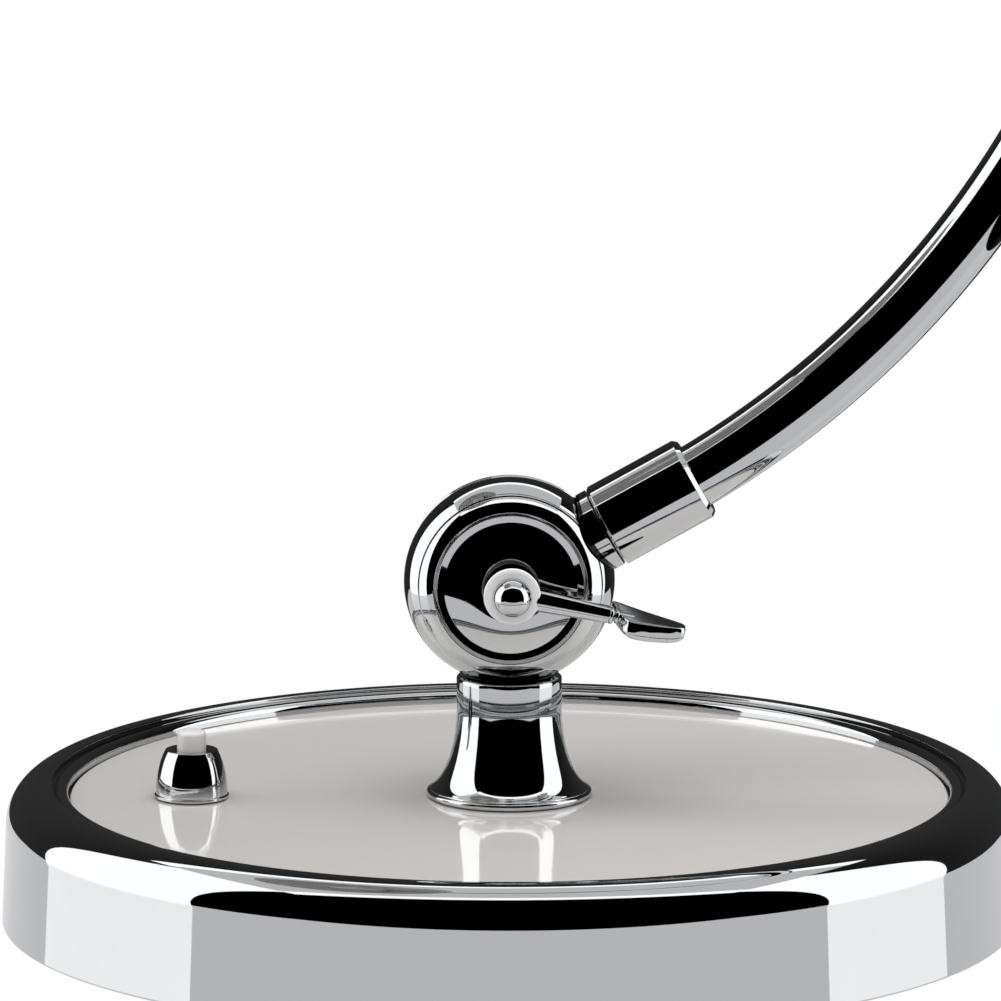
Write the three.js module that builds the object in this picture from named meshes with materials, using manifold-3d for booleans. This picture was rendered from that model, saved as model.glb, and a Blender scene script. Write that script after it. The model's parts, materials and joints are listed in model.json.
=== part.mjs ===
// A desk lamp: a weighted round base with a push switch, a short turned stem, a friction joint with a
// clamp lever, a bent tubular arm, and a second joint that carries a plain dome shade.
// Millimetres. +Z is up, the origin is the middle of the foot's face, the arm bends in the XZ plane, and
// both joints turn about axes along Y with their levers on the -Y side.
import * as THREE from "three";
import { mergeVertices } from "three/addons/utils/BufferGeometryUtils.js";
import Module from "manifold-3d";

const wasm = await Module();
wasm.setup();

// ---- Driving dimensions ----

const GAP = 0.3; // running or seating clearance between neighbouring pieces
const THREAD_GAP = 0.3; // between a thread and its hole

// Base
const BASE_RADIUS = 99.2; // outer radius of the ring where it meets the table
const RING_DRAFT = 0.8; // how much narrower the ring is where its shoulder starts
const RING_WALL = 1.4;
const RING_LIFT = 0.8; // the ring stops this far above the table, clear of the pad
const PLATE_HEIGHT = 25.5; // enamelled face above the table
const PLATE_THICKNESS = 1.5;
const SHOULDER_RADIUS = 8.0;
const SHOULDER_RISE = 3.0; // top of the shoulder above the enamelled face
const BEAD_RADIUS = 1.45; // half-round bead that frames the plate
const BEAD_RISE = 2.2; // top of the bead above the enamelled face
const SEAM = 1.35; // fine groove between the shoulder and the bead
const PAD_THICKNESS = 2.0;
const PAD_INSET = 6.0; // pad edge in from the ring
const COVER_THICKNESS = 1.7;
const BALLAST_INSET = 6.0; // ballast edge in from the ring's shoulder
const BALLAST_RIM = 18.0; // solid rim of the ballast round its hollow
const BALLAST_WEB = 11.7; // iron left above the hollow
const SCREW_HEAD_RADIUS = 3.0;
const SCREW_SHANK_RADIUS = 1.4;
const SCREW_LENGTH = 9.0;
const SCREW_HEAD_HEIGHT = 1.1;
const SCREW_COUNT = 3;
const BLOCK = { x: 18, y: 11, z: 6.4 }; // terminal block
const BLOCK_SCREW_RADIUS = 1.7;
const INLET_HEIGHT = 11.0; // middle of the cable inlet above the table
const INLET_BORE = 3.5; // radius of the hole for the cable
const INLET_WALL = 1.3;
const INLET_REACH = 12.0; // length of the bush inwards from the ring
const WASHER_THICKNESS = 1.0;
const WASHER_EDGE = 3.0; // washer wider than the nut's flats all round

// Stem and its fixing
const NECK_RADIUS = 10.3;
const FOOT_RADIUS = 16.15;
const FOOT_LIP = 1.3;
const FLARE_HEIGHT = 15.0; // flare from the lip up to the straight neck
const STEM_HEIGHT = 24.0; // top of the neck above the enamelled face
const SADDLE_DEPTH = 1.5; // how deep the drum sits in the neck
const NIPPLE_RADIUS = 4.8;
const NIPPLE_BORE = 3.2;
const NIPPLE_REACH = 13.0; // nipple into the stem
const NUT_HEIGHT = 4.0;
const NUT_FLATS = 15.0; // across flats
const LEAD_RADIUS = 2.4; // sheathed lead in the arm
const INNER_LEAD_RADIUS = 1.8; // leads in the hollow of the base

// Friction joints
const LOWER_JOINT = {
  drumRadius: 20.6,
  domeRadius: 10.4,
  faceRadius: 13.0,
  crestRadius: 15.2,
  recess: 1.5,
  crown: 0.8,
  washer: 1.0,
  boltRadius: 3.0,
  hubRadius: 5.6,
  hubDepth: 5.4,
  leverReach: 34.5,
  paddleLength: 14.9,
  paddleWidth: 8.9,
  leverTurn: -12,
};
const UPPER_JOINT = {
  drumRadius: 16.4,
  domeRadius: 8.3,
  faceRadius: 10.4,
  crestRadius: 12.1,
  recess: 1.2,
  crown: 0.6,
  washer: 0.9,
  boltRadius: 2.5,
  hubRadius: 4.6,
  hubDepth: 5.4,
  leverReach: 27.6,
  paddleLength: 11.9,
  paddleWidth: 7.1,
  leverTurn: 24,
};
const SPRING_WASHER = 1.5;
const LEVER_ARM = 3.9; // height of the lever's arm half way along
const LEVER_TAPER = 0.3; // how much higher each edge of the arm is at the hub
const LEVER_DEPTH = 3.2; // thickness of the lever's arm along the joint's axis
const PADDLE_THICKNESS = 3.4;
const PADDLE_RISE = 0.85; // flat top of the paddle above the arm's middle
const PADDLE_ROLL = 12; // degrees by which the paddle's back edge is raised
// The paddle seen from above, as shares of its length and width: a rounded lobe behind the waist, a
// straight back edge, a round end, and a front edge that bulges most near the waist.
const PADDLE_OUTLINE = [
  [0.0, 0.55],
  [0.04, 0.27],
  [0.12, -0.07],
  [0.2, -0.3],
  [0.31, -0.41],
  [0.52, -0.37],
  [0.71, -0.31],
  [0.87, -0.21],
  [0.97, -0.08],
  [1.0, 0.01],
  [0.94, 0.1],
  [0.71, 0.22],
  [0.52, 0.31],
  [0.28, 0.44],
  [0.1, 0.55],
  [0.03, 0.58],
];

// Arm
const ARM_SLOPE = 28.96; // degrees between the lower sleeve and level
const TUBE_RADIUS = 6.35;
const TUBE_WALL = 1.0;
const BEND_RADIUS = 186.4;
const ARM_STRAIGHT = 12.15; // straight end of the tube inside each sleeve
const BEND_END = 95; // degrees round the bend where the arm stops, counted from level
const SLEEVE_WALL = 1.8;
const SLEEVE_LENGTH = 20.1;
const COLLAR_LENGTH = 0.7;
const COLLAR_BORE = 2.9; // radius of the way for the lead
const TUBE_INSET = 1.4; // tube end short of the sleeve's root

// Head
const HEAD_NECK_RADIUS = 7.4;
const HEAD_NECK_LENGTH = 16.0;
const HEAD_NECK_BORE = 3.2;
const CAP_HOLE = 3.4;
const CAP_CORNER = 6.0;
const CAP_RADIUS = 19.0;
const CAP_HEIGHT = 26.0;
const CAP_WALL = 1.2;
const SHADE_RADIUS = 72.0;
const SHADE_HEIGHT = 86.0;
const SHADE_WALL = 1.2;
const SHADE_LIP = 4.0; // shade's inner edge in from the cap's bore
const SHADE_EDGE = 1.4; // radius of the rolled rim
const HOLDER_RADIUS = 12.0;
const HOLDER_LENGTH = 40.0;
const RING_HEIGHT = 6.0; // shade ring
const RING_FLANGE = 1.8;
const BULB_RADIUS = 22.5;
const GLASS_WALL = 0.9;
const BULB_CAP_RADIUS = 7.0;
const BULB_CAP_LENGTH = 19.0;
const CAP_THREAD_PITCH = 2.8;
const CAP_THREAD_TURNS = 4;

// Switch
const SWITCH_INSET = 23.8; // middle of the switch in from the plate's edge
const THIMBLE_BASE = 7.05;
const THIMBLE_TOP = 5.15;
const THIMBLE_HEIGHT = 9.4;
const BUTTON_RADIUS = 2.85;
const BUTTON_PROUD = 3.9;
const BUTTON_GAP = 0.35;
const BARREL_RADIUS = 4.6;
const SWITCH_BODY = { x: 13, y: 10, z: 9 };
const SWITCH_NUT_FLATS = 12.6;
const SWITCH_NUT_SPACE = 3.4; // between the body and the plate, for the nut and its clearances
const THIMBLE_ROOF = 2.2; // thickness of the thimble round the button
const SPRING_WIRE = 0.35;
const SPRING_TURNS = 4;

// ---- Shapes ----

const point = (x, y) => new THREE.Vector2(x, y);
const radians = THREE.MathUtils.degToRad;

// Points on a circle about (x, y), from one angle to another in degrees.
function arc(x, y, radius, from, to, steps) {
  const points = [];
  for (let i = 0; i <= steps; i++) {
    const angle = radians(from + ((to - from) * i) / steps);
    points.push(point(x + radius * Math.cos(angle), y + radius * Math.sin(angle)));
  }
  return points;
}

// Volume enclosed by a mesh, negative when its faces look inwards.
function signedVolume(geometry) {
  const flat = geometry.index ? geometry.toNonIndexed() : geometry;
  const p = flat.attributes.position;
  const a = new THREE.Vector3();
  const b = new THREE.Vector3();
  const c = new THREE.Vector3();
  let volume = 0;
  for (let i = 0; i < p.count; i += 3) {
    a.fromBufferAttribute(p, i);
    b.fromBufferAttribute(p, i + 1);
    c.fromBufferAttribute(p, i + 2);
    volume += a.dot(b.cross(c)) / 6;
  }
  return volume;
}

// The same mesh with its faces looking out.
function facingOut(geometry) {
  if (signedVolume(geometry) >= 0) return geometry;
  const index = geometry.index.array;
  for (let i = 0; i < index.length; i += 3) {
    [index[i + 1], index[i + 2]] = [index[i + 2], index[i + 1]];
  }
  return geometry;
}

// A profile of (radius, height) points turned about Y.
function turnedY(profile, sides) {
  return facingOut(new THREE.LatheGeometry(profile, sides));
}

// A profile of (radius, height) points turned about Z.
function turned(profile, sides) {
  return turnedY(profile, sides).rotateX(Math.PI / 2);
}

const closed = (profile) => [...profile, profile[0]];

// A plain ring from one height to another; a bore of 0 makes a disc.
function ring(bore, radius, low, high, sides) {
  if (bore === 0) {
    return turned([point(0, low), point(radius, low), point(radius, high), point(0, high)], sides);
  }
  return turned(
    closed([point(bore, low), point(radius, low), point(radius, high), point(bore, high)]),
    sides,
  );
}

// A rod along Y between two places.
function rodY(radius, from, to, sides) {
  return turnedY([point(0, from), point(radius, from), point(radius, to), point(0, to)], sides);
}

function box(x, y, z) {
  return new THREE.BoxGeometry(x, y, z);
}

// A hexagon across flats with a round hole, standing from one height to another.
function hexNut(flats, bore, low, high) {
  const outline = new THREE.Shape(arc(0, 0, flats / 2 / Math.cos(Math.PI / 6), 0, 300, 5));
  outline.holes.push(new THREE.Path(arc(0, 0, bore, 0, 337.5, 15)));
  const nut = new THREE.ExtrudeGeometry(outline, { depth: high - low, bevelEnabled: false });
  return nut.translate(0, 0, low);
}

function solidOf(geometry) {
  const bare = geometry.index ? geometry.toNonIndexed() : geometry.clone();
  bare.deleteAttribute("normal");
  bare.deleteAttribute("uv");
  const merged = mergeVertices(bare, 1e-4);
  return new wasm.Manifold(
    new wasm.Mesh({
      numProp: 3,
      vertProperties: merged.attributes.position.array,
      triVerts: new Uint32Array(merged.index.array),
    }),
  );
}

function geometryOf(solid) {
  const mesh = solid.getMesh();
  const geometry = new THREE.BufferGeometry();
  geometry.setAttribute("position", new THREE.BufferAttribute(mesh.vertProperties, 3));
  geometry.setIndex(new THREE.BufferAttribute(mesh.triVerts, 1));
  return geometry;
}

function cut(geometry, ...tools) {
  let solid = solidOf(geometry);
  for (const tool of tools) solid = solid.subtract(solidOf(tool));
  return geometryOf(solid);
}

function join(geometry, ...others) {
  let solid = solidOf(geometry);
  for (const other of others) solid = solid.add(solidOf(other));
  return geometryOf(solid);
}

// A round bar or tube along a curve.
function pipe(curve, radius, bore, sides, steps) {
  const section = new THREE.Shape(arc(0, 0, radius, 0, 360 - 360 / sides, sides - 1));
  if (bore > 0) section.holes.push(new THREE.Path(arc(0, 0, bore, 0, 360 - 360 / sides, sides - 1)));
  return new THREE.ExtrudeGeometry(section, { extrudePath: curve, steps, bevelEnabled: false });
}

// ---- Finishes ----

const FINISH = {
  chrome: { color: 0xc9cacc, roughness: 0.06, metalness: 1.0 },
  dark_nickel: { color: 0x1c1a19, roughness: 0.3, metalness: 0.8 },
  enamel: { color: 0xcbc8c5, roughness: 0.18, metalness: 0.0 },
  white_enamel: { color: 0xefefec, roughness: 0.25, metalness: 0.0 },
  button_plastic: { color: 0xc9c8c5, roughness: 0.4, metalness: 0.0 },
  cast_iron: { color: 0x3b3b3d, roughness: 0.8, metalness: 0.6 },
  zinc_steel: { color: 0x9fa3a6, roughness: 0.4, metalness: 0.9 },
  brass: { color: 0xb08d4a, roughness: 0.35, metalness: 1.0 },
  black_plastic: { color: 0x1b1b1c, roughness: 0.5, metalness: 0.0 },
  felt: { color: 0x2b2c2b, roughness: 1.0, metalness: 0.0 },
  fibre: { color: 0x6a3f2a, roughness: 0.8, metalness: 0.0 },
  lead_cover: { color: 0x2a2a2b, roughness: 0.6, metalness: 0.0 },
  bulb_glass: { color: 0xf4f3ee, roughness: 0.3, metalness: 0.0 },
};

function piece(name, geometry, finish) {
  const mesh = new THREE.Mesh(geometry, new THREE.MeshStandardMaterial(FINISH[finish]));
  mesh.name = name;
  return mesh;
}

function place(object, x, y, z) {
  object.position.set(x, y, z);
  return object;
}

// ---- Base ----

const ringTopRadius = BASE_RADIUS - RING_DRAFT;
const shoulderMiddle = ringTopRadius - SHOULDER_RADIUS;
const shoulderHeight = PLATE_HEIGHT + SHOULDER_RISE - SHOULDER_RADIUS;
const beadHeight = PLATE_HEIGHT + BEAD_RISE - BEAD_RADIUS;
const beadMiddle = shoulderMiddle - SEAM - BEAD_RADIUS;
const ringOpening = beadMiddle - BEAD_RADIUS;
const plateRadius = ringOpening - GAP;
const plateUnder = PLATE_HEIGHT - PLATE_THICKNESS;
const ballastTop = plateUnder - GAP;
const ballastRadius = shoulderMiddle + SHOULDER_RADIUS - BALLAST_INSET;
const coverTop = PAD_THICKNESS + GAP + COVER_THICKNESS;
const ballastBottom = coverTop + GAP;
const hollowTop = ballastTop - BALLAST_WEB;
const hollowRadius = ballastRadius - BALLAST_RIM;
const switchX = -(plateRadius - SWITCH_INSET);

// Spun shell: side wall, quarter-round shoulder, seam, bead and a lip that sits on the ballast.
function baseRing() {
  const profile = [
    point(BASE_RADIUS, RING_LIFT),
    ...arc(shoulderMiddle, shoulderHeight, SHOULDER_RADIUS, 0, 90, 5),
    point(beadMiddle + BEAD_RADIUS + 0.3, PLATE_HEIGHT + SHOULDER_RISE),
    ...arc(beadMiddle, beadHeight, BEAD_RADIUS, 20, 180, 4),
    point(ringOpening, plateUnder),
    point(shoulderMiddle, plateUnder),
    ...arc(shoulderMiddle, shoulderHeight, SHOULDER_RADIUS - RING_WALL, 60, 0, 2),
    point(BASE_RADIUS - RING_WALL, RING_LIFT),
  ];
  const shell = turned(closed(profile), 44);
  const inletHole = rodY(INLET_BORE + INLET_WALL + GAP, BASE_RADIUS - 12, BASE_RADIUS + 2, 14);
  return cut(shell, inletHole.translate(0, 0, INLET_HEIGHT));
}

function enamelPlate() {
  const disc = ring(NIPPLE_RADIUS + THREAD_GAP, plateRadius, plateUnder, PLATE_HEIGHT, 44);
  const switchHole = ring(0, BARREL_RADIUS + GAP, plateUnder - 1, PLATE_HEIGHT + 1, 16);
  return cut(disc, switchHole.translate(switchX, 0, 0));
}

const screwCircle = ballastRadius - BALLAST_RIM / 2;

function screwPlaces() {
  const places = [];
  for (let i = 0; i < SCREW_COUNT; i++) {
    const angle = radians(-90 + (360 * i) / SCREW_COUNT);
    places.push([screwCircle * Math.cos(angle), screwCircle * Math.sin(angle)]);
  }
  return places;
}

// Iron casting, hollow below for the wiring.
function ballastWeight() {
  const body = turned(
    closed([
      point(NIPPLE_RADIUS + THREAD_GAP, hollowTop),
      point(hollowRadius, hollowTop),
      point(hollowRadius + 1, ballastBottom),
      point(ballastRadius, ballastBottom),
      point(ballastRadius, ballastTop),
      point(NIPPLE_RADIUS + THREAD_GAP, ballastTop),
    ]),
    40,
  );
  const pocketRadius = Math.hypot(SWITCH_BODY.x, SWITCH_BODY.y) / 2 + 1;
  const pocket = ring(0, pocketRadius, hollowTop - 1, ballastTop + 1, 16).translate(switchX, 0, 0);
  const channelHeight = INLET_HEIGHT + INLET_BORE + INLET_WALL + 1 - ballastBottom;
  const channel = box(2 * (INLET_BORE + INLET_WALL + 1), BALLAST_RIM + 6, channelHeight + 2).translate(
    0,
    ballastRadius - BALLAST_RIM / 2,
    ballastBottom - 2 + (channelHeight + 2) / 2,
  );
  const screwHole = SCREW_SHANK_RADIUS + THREAD_GAP;
  const holes = screwPlaces().map(([x, y]) =>
    ring(0, screwHole, ballastBottom - 1, coverTop + SCREW_LENGTH, 8).translate(x, y, 0),
  );
  return cut(body, pocket, channel, ...holes);
}

const coverRadius = BASE_RADIUS - RING_WALL - RING_DRAFT;

function bottomCover() {
  const low = PAD_THICKNESS + GAP;
  const disc = ring(0, coverRadius, low, coverTop, 40);
  const holes = screwPlaces().flatMap(([x, y]) => [
    ring(0, SCREW_SHANK_RADIUS + THREAD_GAP, low - 1, coverTop + 1, 8).translate(x, y, 0),
    ring(0, SCREW_HEAD_RADIUS + GAP, low - 1, low + SCREW_HEAD_HEIGHT + GAP, 12).translate(x, y, 0),
  ]);
  return cut(disc, ...holes);
}

// Pan screw pointing up, its head sunk in the cover.
function coverScrew() {
  const low = PAD_THICKNESS + GAP;
  return turned(
    [
      point(0, low),
      point(SCREW_HEAD_RADIUS, low),
      point(SCREW_HEAD_RADIUS, low + SCREW_HEAD_HEIGHT),
      point(SCREW_SHANK_RADIUS, low + SCREW_HEAD_HEIGHT),
      point(SCREW_SHANK_RADIUS, low + SCREW_LENGTH),
      point(0, low + SCREW_LENGTH),
    ],
    10,
  );
}

// Insulating bush through the ring's back wall, with a flange outside.
function cableBush() {
  const outer = INLET_BORE + INLET_WALL;
  return turnedY(
    closed([
      point(INLET_BORE, BASE_RADIUS - INLET_REACH),
      point(outer, BASE_RADIUS - INLET_REACH),
      point(outer, BASE_RADIUS + 0.35),
      point(outer + 1.2, BASE_RADIUS + 0.35),
      point(outer + 1.0, BASE_RADIUS + 1.4),
      point(INLET_BORE + 0.6, BASE_RADIUS + 1.7),
      point(INLET_BORE, BASE_RADIUS + 1.1),
    ]),
    16,
  );
}

const washerTop = hollowTop - GAP;
const nutTop = washerTop - WASHER_THICKNESS - GAP;
const nippleBottom = nutTop - NUT_HEIGHT - 1.2;

const base = new THREE.Group();
base.add(
  piece("foot_pad", ring(0, BASE_RADIUS - PAD_INSET, 0, PAD_THICKNESS, 40), "felt"),
  piece("bottom_cover", bottomCover(), "zinc_steel"),
  piece("ballast_weight", ballastWeight(), "cast_iron"),
  piece("base_ring", baseRing(), "chrome"),
  piece("enamel_plate", enamelPlate(), "enamel"),
  place(piece("cable_bush", cableBush(), "black_plastic"), 0, 0, INLET_HEIGHT),
  piece(
    "threaded_nipple",
    ring(NIPPLE_BORE, NIPPLE_RADIUS, nippleBottom, PLATE_HEIGHT + NIPPLE_REACH, 16),
    "brass",
  ),
  piece(
    "nipple_washer",
    ring(
      NIPPLE_RADIUS + THREAD_GAP,
      NUT_FLATS / 2 + WASHER_EDGE,
      washerTop - WASHER_THICKNESS,
      washerTop,
      16,
    ),
    "zinc_steel",
  ),
  piece(
    "nipple_nut",
    hexNut(NUT_FLATS, NIPPLE_RADIUS + THREAD_GAP, nutTop - NUT_HEIGHT, nutTop),
    "brass",
  ),
);
screwPlaces().forEach(([x, y], i) => {
  base.add(place(piece("cover_screw_" + (i + 1), coverScrew(), "zinc_steel"), x, y, 0));
});

// Terminal block on the cover between the inlet and the nipple, with its two clamping screws.
const blockY = hollowRadius * 0.55;
const blockLow = coverTop + GAP;

function terminalBlock() {
  const block = box(BLOCK.x, BLOCK.y, BLOCK.z).translate(0, 0, BLOCK.z / 2);
  const wells = [-1, 1].map((side) =>
    ring(0, BLOCK_SCREW_RADIUS + GAP, BLOCK.z - 2.6, BLOCK.z + 1, 12).translate((side * BLOCK.x) / 4, 0, 0),
  );
  return cut(block, ...wells);
}

const terminals = place(new THREE.Group(), 0, blockY, blockLow);
terminals.add(piece("terminal_block", terminalBlock(), "black_plastic"));
[-1, 1].forEach((side, i) => {
  const screw = ring(0, BLOCK_SCREW_RADIUS, BLOCK.z - 2.3, BLOCK.z - 0.5, 12);
  const x = (side * BLOCK.x) / 4;
  terminals.add(place(piece("terminal_screw_" + (i + 1), screw, "brass"), x, 0, 0));
});
base.add(terminals);

// Leads in the hollow of the base: from the block to the switch, and from the block to the nipple's foot.
const leadHeight = blockLow + INNER_LEAD_RADIUS + 0.2;
const switchLeadCurve = new THREE.CatmullRomCurve3([
  new THREE.Vector3(-BLOCK.x / 2 - GAP, blockY, leadHeight),
  new THREE.Vector3(-BLOCK.x / 2 - 12, blockY, leadHeight),
  new THREE.Vector3(switchX * 0.75, blockY * 0.6, leadHeight),
  new THREE.Vector3(switchX, 12, leadHeight),
  new THREE.Vector3(switchX, 0, leadHeight),
]);
const stemLeadCurve = new THREE.CatmullRomCurve3([
  new THREE.Vector3(BLOCK.x / 2 + GAP, blockY, leadHeight),
  new THREE.Vector3(BLOCK.x / 2 + 8, blockY, leadHeight),
  new THREE.Vector3(NUT_FLATS, blockY * 0.4, leadHeight),
  new THREE.Vector3(NUT_FLATS * 0.9, 2, leadHeight),
]);
base.add(
  piece("switch_lead", pipe(switchLeadCurve, INNER_LEAD_RADIUS, 0, 6, 14), "lead_cover"),
  piece("stem_lead", pipe(stemLeadCurve, INNER_LEAD_RADIUS, 0, 6, 8), "lead_cover"),
);

// ---- Push switch ----

const plateSeat = PLATE_HEIGHT + GAP;
const thimbleCeiling = THIMBLE_HEIGHT - THIMBLE_ROOF;
const barrelTop = plateSeat + thimbleCeiling - GAP;
const bodyTop = plateUnder - SWITCH_NUT_SPACE;
const buttonFoot = plateSeat + 1.0;
const springSeat = bodyTop - 4;

// Barrel-sided cover, bored for the button and hollow below for the switch's threaded barrel.
function switchThimble() {
  const wall = new THREE.QuadraticBezierCurve(
    point(THIMBLE_BASE, 0.9),
    point(THIMBLE_BASE - 0.1, THIMBLE_HEIGHT * 0.62),
    point(THIMBLE_TOP, THIMBLE_HEIGHT),
  );
  return turned(
    closed([
      point(BARREL_RADIUS + GAP, 0),
      point(THIMBLE_BASE + 0.25, 0),
      point(THIMBLE_BASE + 0.25, 0.7),
      ...wall.getPoints(4),
      point(BUTTON_RADIUS + BUTTON_GAP, THIMBLE_HEIGHT),
      point(BUTTON_RADIUS + BUTTON_GAP, thimbleCeiling),
      point(BARREL_RADIUS + GAP, thimbleCeiling),
    ]),
    24,
  );
}

// Moulded body below the plate with a threaded barrel up into the thimble.
function switchBody() {
  const low = bodyTop - SWITCH_BODY.z;
  const casing = box(SWITCH_BODY.x, SWITCH_BODY.y, SWITCH_BODY.z).translate(0, 0, low + SWITCH_BODY.z / 2);
  const barrel = ring(0, BARREL_RADIUS, bodyTop - 1, barrelTop, 16);
  const bore = ring(0, BUTTON_RADIUS + BUTTON_GAP, springSeat, barrelTop + 1, 16);
  return cut(join(casing, barrel), bore);
}

// Round push button with a domed end.
function switchButton() {
  const top = plateSeat + THIMBLE_HEIGHT + BUTTON_PROUD;
  const edge = 0.7;
  return turned(
    [
      point(0, buttonFoot),
      point(BUTTON_RADIUS, buttonFoot),
      point(BUTTON_RADIUS, top - edge - 0.25),
      ...arc(BUTTON_RADIUS - edge, top - edge - 0.25, edge, 15, 75, 2),
      point(BUTTON_RADIUS * 0.4, top - 0.05),
      point(0, top),
    ],
    16,
  );
}

// Return spring between the floor of the barrel and the foot of the button.
class Coil extends THREE.Curve {
  constructor(radius, low, high, turns) {
    super();
    Object.assign(this, { radius, low, high, turns });
  }
  getPoint(t) {
    const angle = 2 * Math.PI * this.turns * t;
    const height = this.low + (this.high - this.low) * t;
    return new THREE.Vector3(this.radius * Math.cos(angle), this.radius * Math.sin(angle), height);
  }
}

const springCurve = new Coil(
  BUTTON_RADIUS - SPRING_WIRE - 0.3,
  springSeat + SPRING_WIRE + 0.1,
  buttonFoot - SPRING_WIRE - 0.1,
  SPRING_TURNS,
);

const pushSwitch = place(new THREE.Group(), switchX, 0, 0);
pushSwitch.add(
  place(piece("switch_thimble", switchThimble(), "chrome"), 0, 0, plateSeat),
  piece("switch_button", switchButton(), "button_plastic"),
  piece("switch_body", switchBody(), "black_plastic"),
  piece(
    "switch_nut",
    hexNut(SWITCH_NUT_FLATS, BARREL_RADIUS + THREAD_GAP, bodyTop + GAP, plateUnder - GAP),
    "brass",
  ),
  piece("switch_spring", pipe(springCurve, SPRING_WIRE, 0, 4, SPRING_TURNS * 9), "zinc_steel"),
);
base.add(pushSwitch);

// ---- Friction joints ----

// The outline of the whole drum, grown by a clearance: a dome to each side of a plain middle.
function drumEnvelope(joint, clearance) {
  const middle = joint.drumRadius - joint.domeRadius;
  const grown = joint.domeRadius + clearance;
  return turnedY([point(0, -grown), ...arc(middle, 0, grown, -90, 90, 8), point(0, grown)], 30);
}

const halfStart = (joint) => joint.washer / 2 + GAP;
// Depth of the sunk face at its edge, from the joint's middle. It rises from there by the crown.
const faceDepth = (joint) => joint.domeRadius - joint.recess - 0.5;

// Half of the drum on the +Y side: domed rim, rounded crest, sunk and slightly domed face, bolt's hole.
function drumHalf(joint) {
  const middle = joint.drumRadius - joint.domeRadius;
  const start = (Math.asin(halfStart(joint) / joint.domeRadius) * 180) / Math.PI;
  const finish = (Math.acos((joint.crestRadius - middle) / joint.domeRadius) * 180) / Math.PI;
  const crest = joint.domeRadius * Math.sin(radians(finish));
  const face = faceDepth(joint);
  const bore = joint.boltRadius + GAP;
  const seat = joint.hubRadius + 0.4;
  return turnedY(
    closed([
      point(bore, halfStart(joint)),
      ...arc(middle, 0, joint.domeRadius, start, finish, 4),
      point(joint.crestRadius - 0.5, crest),
      point(joint.faceRadius, face),
      point((joint.faceRadius + seat) / 2, face + joint.crown * 0.7),
      point(seat, face + joint.crown),
      point(bore, face + joint.crown),
    ]),
    30,
  );
}

// The stack outside the front half's sunk face, as depths from the joint's middle.
function stackOf(joint) {
  const face = faceDepth(joint) + joint.crown;
  const washer = face + GAP;
  const hub = washer + SPRING_WASHER + GAP;
  const nut = hub + joint.hubDepth + GAP;
  return { face, washer, hub, nut };
}

function drumBolt(joint) {
  const stack = stackOf(joint);
  const head = stack.face + GAP;
  return turnedY(
    [
      point(0, -(stack.nut + 1.4)),
      point(joint.boltRadius, -(stack.nut + 1.4)),
      point(joint.boltRadius, head),
      point(joint.hubRadius, head),
      point(joint.hubRadius, head + 1.6),
      point(joint.hubRadius - 1.2, head + 2.6),
      point(0, head + 2.6),
    ],
    16,
  );
}

// Blind nut with a domed end over the end of the bolt.
function domeNut(joint) {
  const low = stackOf(joint).nut;
  const radius = joint.hubRadius * 0.68;
  const bore = joint.boltRadius + 0.2;
  return turnedY(
    [
      point(0, -(low + 1.4 + GAP)),
      point(bore, -(low + 1.4 + GAP)),
      point(bore, -low),
      point(radius + 0.3, -low),
      point(radius + 0.3, -(low + 0.8)),
      ...arc(0, -(low + 0.8), radius, 0, -90, 4).slice(0, -1),
      point(0, -(low + 0.8 + radius)),
    ],
    20,
  );
}

// Clamp lever: a bored hub, a tapering arm, a beaded waist, and a thumb paddle with a flat top.
// It is made pointing along +X.
function clampLever(joint) {
  const stack = stackOf(joint);
  const front = -(stack.hub + joint.hubDepth);
  const hub = rodY(joint.hubRadius, front, -stack.hub, 24);
  const bore = rodY(joint.boltRadius + GAP, front - 1, 1 - stack.hub, 16);
  const paddleStart = joint.leverReach - joint.paddleLength;
  const waist = paddleStart + 1.35;
  const armStart = joint.boltRadius + 1.2;
  const armEnd = waist - 1.2;
  const armMiddle = front + LEVER_DEPTH / 2;

  const armOutline = new THREE.Shape([
    point(armStart, -LEVER_ARM / 2 - LEVER_TAPER),
    point(armEnd, -LEVER_ARM / 2 + LEVER_TAPER),
    point(armEnd, LEVER_ARM / 2 - LEVER_TAPER),
    point(armStart, LEVER_ARM / 2 + LEVER_TAPER),
  ]);
  const arm = new THREE.ExtrudeGeometry(armOutline, { depth: LEVER_DEPTH, bevelEnabled: false })
    .rotateX(Math.PI / 2)
    .translate(0, front + LEVER_DEPTH + 0.02, 0);

  const beads = turned(
    [
      point(0, -3.2),
      point(1.3, -3.2),
      point(1.3, -1.75),
      ...arc(1.1, -1.2, 0.5, -90, 90, 3),
      ...arc(1.0, -0.1, 0.45, -80, 90, 3),
      point(1.2, 0.5),
      point(1.2, 3.4),
      point(0, 3.4),
    ],
    10,
  )
    .rotateY(Math.PI / 2)
    .translate(waist, armMiddle, 0);

  const outline = PADDLE_OUTLINE.map(([along, across]) =>
    point(along * joint.paddleLength, across * joint.paddleWidth),
  );
  const leaf = new THREE.Shape(new THREE.SplineCurve(closed(outline)).getPoints(32).slice(0, -1));
  const paddle = new THREE.ExtrudeGeometry(leaf, { depth: PADDLE_THICKNESS, bevelEnabled: false })
    .translate(paddleStart, 0, PADDLE_RISE - PADDLE_THICKNESS)
    .rotateX(radians(PADDLE_ROLL))
    .translate(0, armMiddle, 0);

  return cut(join(hub, arm, beads, paddle), bore);
}

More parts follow.
